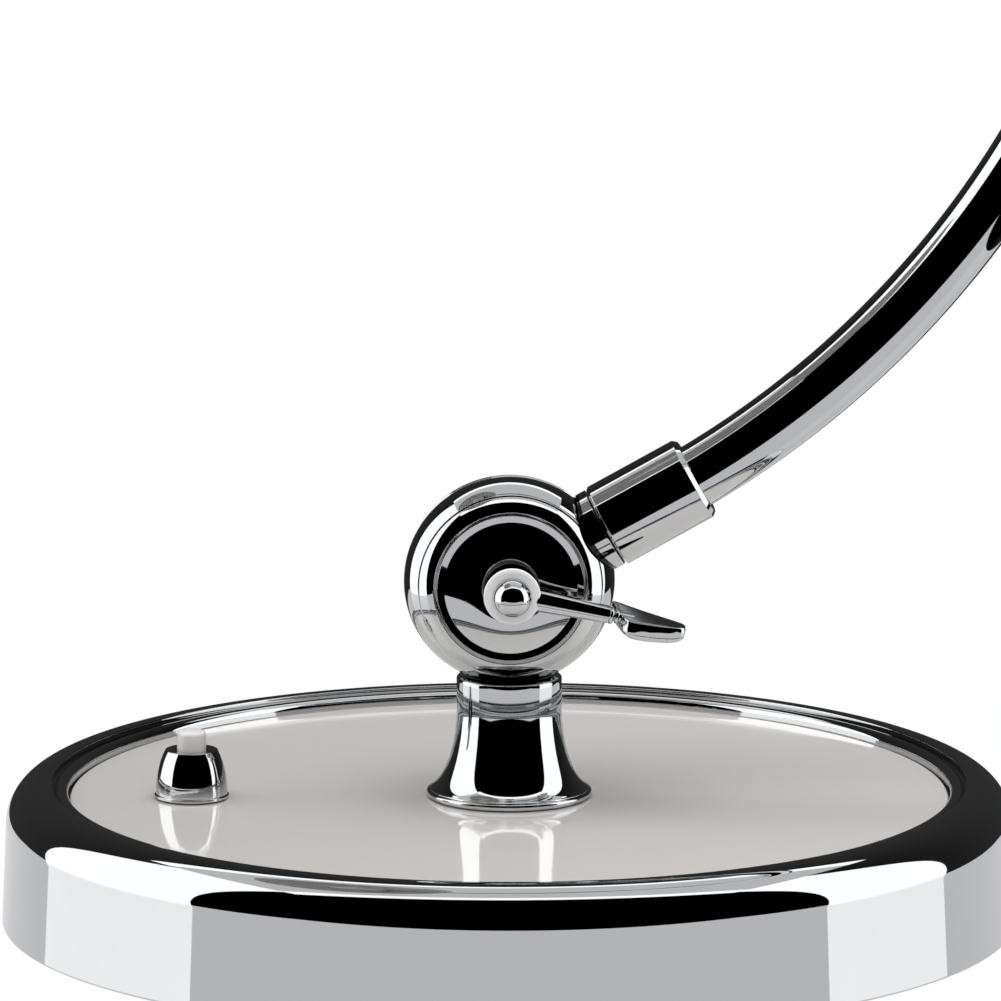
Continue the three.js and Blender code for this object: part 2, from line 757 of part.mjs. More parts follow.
// The pieces of one joint, all but the sleeves and necks that it carries. The bolt and one of the halves
// stay with what the joint stands on, and the other half turns.
function frictionJoint(prefix, joint) {
  const group = new THREE.Group();
  const stack = stackOf(joint);
  const frictionRadius = joint.drumRadius - 2.5;
  const rear = piece(prefix + "_rear_half", drumHalf(joint), "chrome");
  const front = piece(prefix + "_front_half", drumHalf(joint).rotateZ(Math.PI), "chrome");
  const friction = turnedY(
    closed([
      point(joint.boltRadius + GAP, -joint.washer / 2),
      point(frictionRadius, -joint.washer / 2),
      point(frictionRadius, joint.washer / 2),
      point(joint.boltRadius + GAP, joint.washer / 2),
    ]),
    20,
  );
  const spring = turnedY(
    closed([
      point(joint.boltRadius + GAP, -stack.washer),
      point(joint.hubRadius + 0.2, -stack.washer),
      point(joint.hubRadius + 0.2, -stack.washer - SPRING_WASHER),
      point(joint.boltRadius + GAP, -stack.washer - SPRING_WASHER),
    ]),
    16,
  );
  const lever = piece(prefix + "_clamp_lever", clampLever(joint), "chrome");
  lever.rotation.y = -radians(joint.leverTurn);
  group.add(
    rear,
    front,
    piece(prefix + "_friction_washer", friction, "fibre"),
    piece(prefix + "_spring_washer", spring, "zinc_steel"),
    piece(prefix + "_bolt", drumBolt(joint), "chrome"),
    lever,
    piece(prefix + "_dome_nut", domeNut(joint), "chrome"),
  );
  return group;
}

// ---- Stem ----

const lowerJointHeight = PLATE_HEIGHT + STEM_HEIGHT - SADDLE_DEPTH + LOWER_JOINT.drumRadius;

// Turned stem: rounded lip on the plate, hollow-cheeked flare, straight neck and a saddle for the drum.
function stem() {
  const flare = new THREE.CubicBezierCurve(
    point(FOOT_RADIUS - 0.6, FOOT_LIP + 0.2),
    point(FOOT_RADIUS - 3.4, FOOT_LIP + 1.6),
    point(NECK_RADIUS, FLARE_HEIGHT * 0.5),
    point(NECK_RADIUS, FLARE_HEIGHT),
  );
  const bore = NIPPLE_RADIUS + THREAD_GAP;
  const top = STEM_HEIGHT - GAP;
  const column = turned(
    closed([
      point(bore, 0),
      point(FOOT_RADIUS - 0.3, 0),
      ...arc(FOOT_RADIUS - FOOT_LIP / 2, FOOT_LIP / 2, FOOT_LIP / 2, -45, 80, 3),
      ...flare.getPoints(5),
      point(NECK_RADIUS, top - 0.5),
      point(NECK_RADIUS - 0.5, top),
      point(bore, top),
    ]),
    32,
  );
  const saddle = drumEnvelope(LOWER_JOINT, GAP).translate(0, 0, lowerJointHeight - plateSeat);
  return cut(column, saddle);
}

base.add(place(piece("stem", stem(), "chrome"), 0, 0, plateSeat));

// ---- Arm ----

// The arm's middle line in its own frame: X leads away from the lower joint along the sleeve, then the tube
// bends upwards round a circle of BEND_RADIUS, and ends with a straight stretch.
const sleeveStart = LOWER_JOINT.drumRadius + GAP + COLLAR_LENGTH;
const tubeStart = sleeveStart + TUBE_INSET;
const bendSweep = 90 - ARM_SLOPE + BEND_END;
const bendLength = BEND_RADIUS * radians(bendSweep);

class ArmLine extends THREE.Curve {
  getPoint(t) {
    const along = t * (2 * ARM_STRAIGHT + bendLength);
    const turn = THREE.MathUtils.clamp((along - ARM_STRAIGHT) / BEND_RADIUS, 0, radians(bendSweep));
    const straight = along - turn * BEND_RADIUS;
    const before = Math.min(straight, ARM_STRAIGHT);
    const after = straight - before;
    return new THREE.Vector3(
      tubeStart + before + BEND_RADIUS * Math.sin(turn) + after * Math.cos(turn),
      0,
      BEND_RADIUS * (1 - Math.cos(turn)) + after * Math.sin(turn),
    );
  }
}

// A chamfered sleeve over a tube end, made along +X from a start.
function sleeve(start, length, wall) {
  const outer = TUBE_RADIUS + GAP + wall;
  return turned(
    closed([
      point(TUBE_RADIUS + GAP, start),
      point(outer - 0.6, start),
      point(outer, start + 0.6),
      point(outer, start + length - 0.8),
      point(outer - 0.8, start + length),
      point(TUBE_RADIUS + GAP, start + length),
    ]),
    24,
  ).rotateY(Math.PI / 2);
}

// A narrow ring at a sleeve's root, cut to the drum.
function collar(joint, start, wall) {
  const outer = TUBE_RADIUS + wall;
  const plug = ring(COLLAR_BORE, outer, joint.drumRadius * 0.6, start - GAP, 20).rotateY(Math.PI / 2);
  return cut(plug, drumEnvelope(joint, GAP));
}

const arm = new THREE.Group();
arm.position.z = lowerJointHeight;
arm.rotation.y = -radians(ARM_SLOPE);
const armLine = new ArmLine();
arm.add(
  piece("arm_collar", collar(LOWER_JOINT, sleeveStart, SLEEVE_WALL), "dark_nickel"),
  piece("arm_sleeve", sleeve(sleeveStart, SLEEVE_LENGTH, SLEEVE_WALL), "chrome"),
  piece("arm_tube", pipe(armLine, TUBE_RADIUS, TUBE_RADIUS - TUBE_WALL, 12, 26), "chrome"),
  piece("arm_lead", pipe(armLine, LEAD_RADIUS, 0, 6, 26), "lead_cover"),
);

// The upper sleeve and joint sit past the tube's far end, on its last straight line.
const upperSleeveStart = UPPER_JOINT.drumRadius + GAP + COLLAR_LENGTH;
const armEnd = armLine.getPoint(1);
const endReach = upperSleeveStart + TUBE_INSET;
const upperJoint = new THREE.Group();
upperJoint.position.set(
  armEnd.x + endReach * Math.cos(radians(bendSweep)),
  0,
  armEnd.z + endReach * Math.sin(radians(bendSweep)),
);
const upperSleeveGroup = new THREE.Group();
upperSleeveGroup.rotation.y = -radians(bendSweep + 180);
upperSleeveGroup.add(
  piece("upper_collar", collar(UPPER_JOINT, upperSleeveStart, SLEEVE_WALL * 0.7), "dark_nickel"),
  piece("upper_sleeve", sleeve(upperSleeveStart, SLEEVE_LENGTH, SLEEVE_WALL * 0.7), "chrome"),
);
upperJoint.add(upperSleeveGroup);
arm.add(upperJoint);

// ---- Head ----

// The head hangs straight down from the upper joint, so it is turned back upright here.
const head = new THREE.Group();
head.rotation.y = radians(ARM_SLOPE);
head.add(frictionJoint("upper", UPPER_JOINT));

const headNeckTop = -(UPPER_JOINT.drumRadius - 2);
const capTop = headNeckTop - HEAD_NECK_LENGTH;
const shadeTop = capTop - CAP_HEIGHT + 4;
const shadeOpening = CAP_RADIUS - CAP_WALL - SHADE_LIP;

function headNeck() {
  const neck = turned(
    closed([
      point(HEAD_NECK_BORE, capTop + GAP),
      point(HEAD_NECK_RADIUS + 2.2, capTop + GAP),
      point(HEAD_NECK_RADIUS + 2.2, capTop + 2.2),
      point(HEAD_NECK_RADIUS, capTop + 4),
      point(HEAD_NECK_RADIUS, headNeckTop),
      point(HEAD_NECK_BORE, headNeckTop),
    ]),
    20,
  );
  return cut(neck, drumEnvelope(UPPER_JOINT, GAP));
}

// Spun cup over the lampholder. Its open mouth stands on the shade.
function shadeCap() {
  const low = shadeTop + SHADE_WALL + GAP;
  const middle = CAP_RADIUS - CAP_CORNER;
  return turned(
    closed([
      point(CAP_HOLE, capTop - CAP_WALL),
      point(middle, capTop - CAP_WALL),
      ...arc(middle, capTop - CAP_CORNER, CAP_CORNER - CAP_WALL, 80, 0, 2),
      point(CAP_RADIUS - CAP_WALL, low),
      point(CAP_RADIUS, low),
      ...arc(middle, capTop - CAP_CORNER, CAP_CORNER, 0, 90, 3),
      point(CAP_HOLE, capTop),
    ]),
    32,
  );
}

// Plain dome shell: a quarter of an ellipse from the cap's mouth down to the rim, with a rolled edge.
function shade() {
  const outside = [];
  const inside = [];
  const steps = 7;
  const first = Math.asin((CAP_RADIUS + 1.5) / SHADE_RADIUS);
  for (let i = 0; i <= steps; i++) {
    const angle = first + ((Math.PI / 2 - first) * i) / steps;
    const drop = SHADE_HEIGHT * (1 - Math.cos(angle) / Math.cos(first));
    outside.push(point(SHADE_RADIUS * Math.sin(angle), shadeTop + SHADE_WALL - drop));
    inside.push(point((SHADE_RADIUS - SHADE_WALL) * Math.sin(angle), shadeTop - drop * 0.992));
  }
  const rim = outside[outside.length - 1].y;
  return turned(
    closed([
      point(shadeOpening, shadeTop),
      point(shadeOpening, shadeTop + SHADE_WALL),
      ...outside.slice(0, -1),
      point(SHADE_RADIUS, rim + SHADE_EDGE * 2),
      ...arc(SHADE_RADIUS, rim + SHADE_EDGE, SHADE_EDGE, 60, -60, 2),
      point(SHADE_RADIUS - SHADE_WALL, rim),
      ...inside.reverse().slice(1),
    ]),
    36,
  );
}

const holderTop = capTop - CAP_WALL - GAP;
const holderLow = holderTop - HOLDER_LENGTH;

// Moulded lampholder hanging in the cap, open below for the bulb's cap.
function lampholder() {
  const mouth = BULB_CAP_RADIUS + 0.6;
  const deep = holderLow + BULB_CAP_LENGTH + 2;
  return turned(
    [
      point(0, deep),
      point(mouth, deep),
      point(mouth, holderLow),
      point(HOLDER_RADIUS - 1, holderLow),
      point(HOLDER_RADIUS, holderLow + 1),
      point(HOLDER_RADIUS, holderTop - 4),
      point(HOLDER_RADIUS - 2, holderTop),
      point(0, holderTop),
    ],
    20,
  );
}

// Flanged ring that screws on the lampholder and holds the shade up against the cap.
function shadeRing() {
  const top = shadeTop - GAP;
  const bore = HOLDER_RADIUS + THREAD_GAP;
  return turned(
    closed([
      point(bore, top - RING_HEIGHT),
      point(bore + RING_FLANGE, top - RING_HEIGHT),
      point(bore + RING_FLANGE, top - RING_FLANGE),
      point(shadeOpening + 3, top - RING_FLANGE),
      point(shadeOpening + 3, top),
      point(bore, top),
    ]),
    24,
  );
}

// Blown glass, round below and open at the neck where the cap closes it.
function bulbGlass() {
  const middle = holderLow - BULB_RADIUS - 4;
  const neck = BULB_CAP_RADIUS - 0.4;
  const meet = (Math.asin(neck / BULB_RADIUS) * 180) / Math.PI;
  const top = middle + Math.sqrt(BULB_RADIUS ** 2 - neck ** 2) + 2.6;
  const inner = BULB_RADIUS - GLASS_WALL;
  return turned(
    [
      point(0, middle - BULB_RADIUS),
      ...arc(0, middle, BULB_RADIUS, -90, 90 - meet - 14, 7).slice(1),
      point(neck, top),
      point(neck - GLASS_WALL, top),
      ...arc(0, middle, inner, 90 - meet - 14, -90, 6).slice(0, -1),
      point(0, middle - inner),
    ],
    20,
  );
}

function bulbCap() {
  const low = holderLow - 0.5;
  const thread = [];
  for (let i = 0; i < CAP_THREAD_TURNS; i++) {
    const height = low + 3 + i * CAP_THREAD_PITCH;
    thread.push(point(BULB_CAP_RADIUS - 0.5, height));
    thread.push(point(BULB_CAP_RADIUS, height + CAP_THREAD_PITCH / 2));
  }
  return turned(
    [
      point(0, low),
      point(BULB_CAP_RADIUS, low),
      ...thread,
      point(BULB_CAP_RADIUS - 0.8, low + BULB_CAP_LENGTH - 3),
      point(2.6, low + BULB_CAP_LENGTH - 0.8),
      point(0, low + BULB_CAP_LENGTH),
    ],
    16,
  );
}

head.add(
  piece("head_neck", headNeck(), "chrome"),
  piece("shade_cap", shadeCap(), "chrome"),
  piece("shade", shade(), "chrome"),
  piece("lampholder", lampholder(), "black_plastic"),
  piece("shade_ring", shadeRing(), "black_plastic"),
  piece("bulb_glass", bulbGlass(), "bulb_glass"),
  piece("bulb_cap", bulbCap(), "brass"),
);
upperJoint.add(head);

// ---- Whole lamp ----

const lowerJoint = place(frictionJoint("lower", LOWER_JOINT), 0, 0, lowerJointHeight);
const lamp = new THREE.Group();
lamp.add(base, lowerJoint, arm);

export default lamp;
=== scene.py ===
import json
import math

import bmesh
import bpy
import numpy as np
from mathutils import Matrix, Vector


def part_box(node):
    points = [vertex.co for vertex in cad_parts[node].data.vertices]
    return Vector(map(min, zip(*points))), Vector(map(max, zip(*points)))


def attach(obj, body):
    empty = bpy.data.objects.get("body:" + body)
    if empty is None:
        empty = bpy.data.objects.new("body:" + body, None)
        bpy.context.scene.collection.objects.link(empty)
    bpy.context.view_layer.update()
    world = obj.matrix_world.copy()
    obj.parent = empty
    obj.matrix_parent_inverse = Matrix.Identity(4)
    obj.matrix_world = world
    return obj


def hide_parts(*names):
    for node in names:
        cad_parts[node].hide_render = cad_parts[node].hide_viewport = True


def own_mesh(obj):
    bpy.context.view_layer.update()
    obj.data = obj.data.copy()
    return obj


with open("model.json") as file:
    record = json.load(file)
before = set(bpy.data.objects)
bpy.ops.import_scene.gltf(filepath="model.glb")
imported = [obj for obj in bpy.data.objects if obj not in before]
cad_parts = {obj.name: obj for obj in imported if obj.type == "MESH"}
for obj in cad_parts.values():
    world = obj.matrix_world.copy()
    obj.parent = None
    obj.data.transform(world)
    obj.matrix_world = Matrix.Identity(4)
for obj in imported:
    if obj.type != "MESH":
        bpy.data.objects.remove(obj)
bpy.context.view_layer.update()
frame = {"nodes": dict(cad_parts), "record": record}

# ---------------------------------------------------------------------------------------------------------
# Camera. It stands in front and a little to the left, and looks down by 11.5 degrees at the foot of the arm
# through a long lens, so that the base is a wide ellipse and the arm leaves at the upper right.
# ---------------------------------------------------------------------------------------------------------
MM = 0.001
CAMERA_TURN = math.radians(-2.0)
CAMERA_FALL = math.radians(11.5)
CAMERA_DISTANCE = 3.4
VIEW_WIDTH = 195.0 * MM
AIM = np.array([-1.7, 0.0, 84.3]) * MM
SENSOR = 36.0

camera_back = np.array([
    math.sin(CAMERA_TURN) * math.cos(CAMERA_FALL),
    -math.cos(CAMERA_TURN) * math.cos(CAMERA_FALL),
    math.sin(CAMERA_FALL),
])
camera_data = bpy.data.cameras.new("camera")
camera_data.sensor_width = SENSOR
camera_data.lens = SENSOR * CAMERA_DISTANCE / VIEW_WIDTH
camera_data.clip_start = 0.1
camera_data.clip_end = 50.0
camera = bpy.data.objects.new("camera", camera_data)
camera.location = AIM + camera_back * CAMERA_DISTANCE
camera.rotation_euler = (math.pi / 2 - CAMERA_FALL, 0.0, CAMERA_TURN)
bpy.context.collection.objects.link(camera)
bpy.context.scene.camera = camera
bpy.context.scene.view_settings.view_transform = "Standard"


# ---------------------------------------------------------------------------------------------------------
# Floor and studio. A gloss-white table top, two tall soft panels at the sides, three strips of panel
# overhead of which the front and the back one are bright, and a room that is dark at the front. Two fill
# lights lift matt finishes only: they don't show in gloss.
# ---------------------------------------------------------------------------------------------------------
def flat_sheet(name, corners, material):
    """One rectangle through four corners given in order, in millimetres."""
    mesh = bpy.data.meshes.new(name)
    mesh.from_pydata((np.array(corners, float) * MM).tolist(), [], [(0, 1, 2, 3)])
    mesh.materials.append(material)
    sheet = bpy.data.objects.new(name, mesh)
    bpy.context.collection.objects.link(sheet)
    return sheet


def table_top_material():
    """A lit white sheet: plain white to look at, and a little dimmer, with a clear gloss, in reflections."""
    material = bpy.data.materials.new("table_lacquer")
    material.use_nodes = True
    nodes, links = material.node_tree.nodes, material.node_tree.links
    nodes.clear()
    plain = nodes.new("ShaderNodeEmission")
    plain.inputs["Strength"].default_value = 1.0
    gloss = nodes.new("ShaderNodeBsdfPrincipled")
    gloss.inputs["Base Color"].default_value = (0.02, 0.02, 0.02, 1)
    gloss.inputs["Roughness"].default_value = 0.05
    gloss.inputs["Emission Color"].default_value = (0.985, 0.98, 1.0, 1)
    gloss.inputs["Emission Strength"].default_value = 0.80
    ray = nodes.new("ShaderNodeLightPath")
    mix = nodes.new("ShaderNodeMixShader")
    out = nodes.new("ShaderNodeOutputMaterial")
    links.new(ray.outputs["Is Camera Ray"], mix.inputs["Fac"])
    links.new(gloss.outputs["BSDF"], mix.inputs[1])
    links.new(plain.outputs["Emission"], mix.inputs[2])
    links.new(mix.outputs["Shader"], out.inputs["Surface"])
    return material


def glowing_cloth(name, strength):
    """Evenly lit diffusing cloth."""
    material = bpy.data.materials.new(name)
    material.use_nodes = True
    nodes, links = material.node_tree.nodes, material.node_tree.links
    nodes.clear()
    glow = nodes.new("ShaderNodeEmission")
    glow.inputs["Strength"].default_value = strength
    out = nodes.new("ShaderNodeOutputMaterial")
    links.new(glow.outputs["Emission"], out.inputs["Surface"])
    return material


TABLE_FRONT = -250
TABLE_SIDE = 235
TABLE_BACK = 175
FLOOR_DROP = 0.05
flat_sheet("floor", [
    (-TABLE_SIDE, TABLE_FRONT, -FLOOR_DROP), (TABLE_SIDE, TABLE_FRONT, -FLOOR_DROP),
    (TABLE_SIDE, TABLE_BACK, -FLOOR_DROP), (-TABLE_SIDE, TABLE_BACK, -FLOOR_DROP),
], table_top_material())

bright_cloth = glowing_cloth("bright_cloth", 1.8)
dull_cloth = glowing_cloth("dull_cloth", 0.80)
PANEL_OUT = 450
PANEL_FOOT = -150
PANEL_TOP = 620
panels = []
for name, side, front, back in (("side_panel_left", -1, -153, 290), ("side_panel_right", 1, -185, 120)):
    panels.append(flat_sheet(name, [
        (side * PANEL_OUT, front, PANEL_FOOT), (side * PANEL_OUT, back, PANEL_FOOT),
        (side * PANEL_OUT, back, PANEL_TOP), (side * PANEL_OUT, front, PANEL_TOP),
    ], bright_cloth))
for name, front, back, cloth in (
    ("top_panel_front", -205, -130, bright_cloth),
    ("top_panel_middle", -130, 330, dull_cloth),
    ("top_panel_back", 330, 430, bright_cloth),
):
    panels.append(flat_sheet(name, [
        (-PANEL_OUT, front, PANEL_TOP), (PANEL_OUT, front, PANEL_TOP),
        (PANEL_OUT, back, PANEL_TOP), (-PANEL_OUT, back, PANEL_TOP),
    ], cloth))
for panel in panels:
    panel.visible_camera = False
    panel.visible_shadow = False

world = bpy.data.worlds.new("studio")
bpy.context.scene.world = world
world.use_nodes = True
nodes, links = world.node_tree.nodes, world.node_tree.links
nodes.clear()
ray = nodes.new("ShaderNodeLightPath")
room = nodes.new("ShaderNodeTexCoord")
part_way = nodes.new("ShaderNodeSeparateXYZ")
links.new(room.outputs["Generated"], part_way.inputs["Vector"])
behind = nodes.new("ShaderNodeMapRange")
behind.inputs["From Min"].default_value = 0.0
behind.inputs["From Max"].default_value = 0.9
behind.inputs["To Min"].default_value = 0.0
behind.inputs["To Max"].default_value = 0.035
links.new(part_way.outputs["Y"], behind.inputs["Value"])
dark_room = nodes.new("ShaderNodeBackground")
dark_room.inputs["Color"].default_value = (1, 1, 1, 1)
links.new(behind.outputs["Result"], dark_room.inputs["Strength"])
white_room = nodes.new("ShaderNodeBackground")
white_room.inputs["Color"].default_value = (1, 1, 1, 1)
white_room.inputs["Strength"].default_value = 1.0
mix = nodes.new("ShaderNodeMixShader")
out = nodes.new("ShaderNodeOutputWorld")
links.new(ray.outputs["Is Camera Ray"], mix.inputs["Fac"])
links.new(dark_room.outputs["Background"], mix.inputs[1])
links.new(white_room.outputs["Background"], mix.inputs[2])
links.new(mix.outputs["Shader"], out.inputs["Surface"])

for name, size, power, place, turn in (
    ("soft_fill_above", 2.4, 90, (0.0, -0.4, 2.2), 0.0),
    ("soft_fill_front", 1.2, 8, (0.0, -1.9, 0.45), math.radians(80)),
):
    fill_data = bpy.data.lights.new(name, "AREA")
    fill_data.shape = "SQUARE"
    fill_data.size = size
    fill_data.energy = power
    fill = bpy.data.objects.new(name, fill_data)
    fill.location = place
    fill.rotation_euler = (turn, 0.0, 0.0)
    fill.visible_glossy = False
    fill.visible_camera = False
    bpy.context.collection.objects.link(fill)


# ---------------------------------------------------------------------------------------------------------
# Base ring: a spun steel shell with a nearly upright wall, a quarter-round shoulder, a fine seam and a
# half-round bead that frames the plate. Polished and chrome plated. It sits with its lip on the ballast.
# ---------------------------------------------------------------------------------------------------------
def fine_noise(nodes, links, scale, detail, coordinates):
    """Noise on the piece's own coordinates, in waves per metre."""
    noise = nodes.new("ShaderNodeTexNoise")
    noise.inputs["Scale"].default_value = scale
    noise.inputs["Detail"].default_value = detail
    links.new(coordinates.outputs["Object"], noise.inputs["Vector"])
    return noise


def ranged(nodes, links, source, low, high):
    """A 0 to 1 signal spread between two values."""
    spread = nodes.new("ShaderNodeMapRange")
    spread.inputs["From Min"].default_value = 0.3
    spread.inputs["From Max"].default_value = 0.7
    spread.inputs["To Min"].default_value = low
    spread.inputs["To Max"].default_value = high
    links.new(source, spread.inputs["Value"])
    return spread.outputs["Result"]


def surface(name, colour, metallic, roughness, grain=900.0, bump=0.0, bump_depth=0.00002, spread=0.0,
            coat=0.0):
    """A principled surface whose roughness wanders between two values and whose face has a fine grain."""
    material = bpy.data.materials.new(name)
    material.use_nodes = True
    nodes, links = material.node_tree.nodes, material.node_tree.links
    shader = nodes["Principled BSDF"]
    shader.inputs["Metallic"].default_value = metallic
    shader.inputs["Coat Weight"].default_value = coat
    shader.inputs["Coat Roughness"].default_value = 0.03
    coordinates = nodes.new("ShaderNodeTexCoord")
    wander = fine_noise(nodes, links, grain * 0.1, 3.0, coordinates)
    rough = ranged(nodes, links, wander.outputs["Fac"], roughness[0], roughness[1])
    links.new(rough, shader.inputs["Roughness"])
    tint = nodes.new("ShaderNodeMix")
    tint.data_type = "RGBA"
    tint.inputs["A"].default_value = (*(np.array(colour) * (1 - spread)), 1)
    tint.inputs["B"].default_value = (*(np.array(colour) * (1 + spread)), 1)
    speck = fine_noise(nodes, links, grain * 0.35, 4.0, coordinates)
    links.new(speck.outputs["Fac"], tint.inputs["Factor"])
    links.new(tint.outputs["Result"], shader.inputs["Base Color"])
    if bump > 0:
        fine = fine_noise(nodes, links, grain, 2.0, coordinates)
        relief = nodes.new("ShaderNodeBump")
        relief.inputs["Strength"].default_value = bump
        relief.inputs["Distance"].default_value = bump_depth
        links.new(fine.outputs["Fac"], relief.inputs["Height"])
        links.new(relief.outputs["Normal"], shader.inputs["Normal"])
    return material


CHROME = (0.549, 0.556, 0.562)
chrome = surface("polished_chrome", CHROME, 1.0, (0.012, 0.035), grain=700.0, spread=0.015)


def filleted(corners, steps=6):
    """Profile through corners (across, along, fillet radius): at each corner the two straights are joined
    by an arc tangent to both. Returns the points and their unit tangents; the corners run anticlockwise."""
    corners = np.array(corners, float)
    count = len(corners)
    points, tangents = [], []
    for i, (x, y, radius) in enumerate(corners):
        here = np.array([x, y])
        before = here - corners[i - 1, :2]
        after = corners[(i + 1) % count, :2] - here
        before_length, after_length = np.linalg.norm(before), np.linalg.norm(after)
        before, after = before / max(before_length, 1e-9), after / max(after_length, 1e-9)
        cross = before[0] * after[1] - before[1] * after[0]
        turn = math.atan2(cross, float(before @ after))
        if radius <= 0 or abs(turn) < 1e-3 or i in (0, count - 1):
            way = after if i == 0 else before if i == count - 1 else (before + after)
            points.append(here)
            tangents.append(way / np.linalg.norm(way))
            continue
        set_back = min(radius * math.tan(abs(turn) / 2), before_length * 0.48, after_length * 0.48)
        radius = set_back / math.tan(abs(turn) / 2)
        side = math.copysign(1.0, turn)
        centre = here - before * set_back + side * radius * np.array([-before[1], before[0]])
        angles = turn * np.linspace(0, 1, steps + 1)
        cos, sin = np.cos(angles), np.sin(angles)
        way = np.stack([before[0] * cos - before[1] * sin, before[0] * sin + before[1] * cos], axis=1)
        points.extend(centre + side * radius * np.stack([way[:, 1], -way[:, 0]], axis=1))
        tangents.extend(way)
    return np.array(points), np.array(tangents)


def arc_corners(across, along, radius, start, stop, steps):
    """Corners along a circle, from one angle in degrees to another, with no fillet of their own."""
    angles = np.radians(np.linspace(start, stop, steps + 1))
    return [(across + radius * c, along + radius * s, 0.0) for c, s in zip(np.cos(angles), np.sin(angles))]


IDENTITY = np.eye(4)


def frame_at(origin, along, across=(1.0, 0.0, 0.0)):
    """A place to build in: its third axis points along, its first as nearly across as that allows."""
    along = np.array(along, float) / np.linalg.norm(along)
    across = np.array(across, float) - along * np.dot(across, along)
    across = across / np.linalg.norm(across)
    place = np.eye(4)
    place[:3, 0], place[:3, 1], place[:3, 2], place[:3, 3] = across, np.cross(along, across), along, origin
    return place


def put_in_scene(name, points, faces, materials, body, replaced=(), normals=None,
                 face_material=None, crease=40.0):
    """Makes a mesh object from arrays in millimetres. It is shaded by its own normals where they are given,
    and else smooth but for edges sharper than the crease, in degrees."""
    mesh = bpy.data.meshes.new(name)
    mesh.from_pydata((points * MM).tolist(), [], [f.tolist() for f in faces])
    for material in materials:
        mesh.materials.append(material)
    if face_material is not None:
        mesh.polygons.foreach_set("material_index", np.asarray(face_material, dtype=np.int32))
    mesh.polygons.foreach_set("use_smooth", np.ones(len(mesh.polygons), dtype=bool))
    mesh.update()
    if normals is None:
        mesh.set_sharp_from_angle(angle=math.radians(crease))
    else:
        mesh.normals_split_custom_set_from_vertices(normals.tolist())
    piece = bpy.data.objects.new(name, mesh)
    bpy.context.collection.objects.link(piece)
    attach(piece, body)
    if replaced:
        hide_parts(*replaced)
    return piece


def grid_faces(rows, columns, closed_rows):
    """Quads of a grid that closes round its columns, and round its rows too if asked."""
    last = rows if closed_rows else rows - 1
    i, j = np.meshgrid(np.arange(last), np.arange(columns), indexing="ij")
    up, round_ = (i + 1) % rows, (j + 1) % columns
    quads = [i * columns + j, i * columns + round_, up * columns + round_, up * columns + j]
    return np.stack(quads, axis=-1).reshape(-1, 4)


def end_fan(ring, pole, reverse=False):
    """Triangles between a closed ring of vertices and one vertex at its middle."""
    here, after = ring, np.roll(ring, -1)
    if reverse:
        here, after = after, here
    return list(np.stack([np.full(len(ring), pole), here, after], axis=1))


def turned_arrays(points, tangents, sides, place):
    """The profile (r, h) turned about the third axis: x = r cos a, y = r sin a, z = h. The outward normal
    in the profile's plane is its tangent turned a quarter clockwise. A profile that starts or ends on the
    axis closes there in one vertex."""
    angles = np.linspace(0, 2 * np.pi, sides, endpoint=False)
    cos, sin = np.cos(angles), np.sin(angles)
    start_pole, end_pole = points[0, 0] < 1e-6, points[-1, 0] < 1e-6
    off_axis = slice(1 if start_pole else 0, len(points) - 1 if end_pole else len(points))
    r, h = points[off_axis, :1], points[off_axis, 1:]
    grid = np.stack([r * cos, r * sin, h + 0 * cos], axis=-1).reshape(-1, 3)
    nr, nh = tangents[off_axis, 1:], -tangents[off_axis, :1]
    normals = np.stack([nr * cos, nr * sin, nh + 0 * cos], axis=-1).reshape(-1, 3)
    rows = len(r)
    faces = list(grid_faces(rows, sides, not (start_pole or end_pole)))
    around = np.arange(sides)
    if start_pole:
        grid = np.vstack([grid, [0, 0, points[0, 1]]])
        normals = np.vstack([normals, [0, 0, -1]])
        faces += end_fan(around, len(grid) - 1, reverse=True)
    if end_pole:
        grid = np.vstack([grid, [0, 0, points[-1, 1]]])
        normals = np.vstack([normals, [0, 0, 1]])
        faces += end_fan((rows - 1) * sides + around, len(grid) - 1)
    grid = grid @ place[:3, :3].T + place[:3, 3]
    return grid, faces, normals @ place[:3, :3].T


def turned_piece(name, corners, body, replaced, sides=128, place=IDENTITY, material=chrome,
                 steps=6):
    """A piece turned from profile corners, with that many steps in each fillet."""
    grid, faces, normals = turned_arrays(*filleted(corners, steps), sides, place)
    return put_in_scene(name, grid, faces, [material], body, replaced, normals)


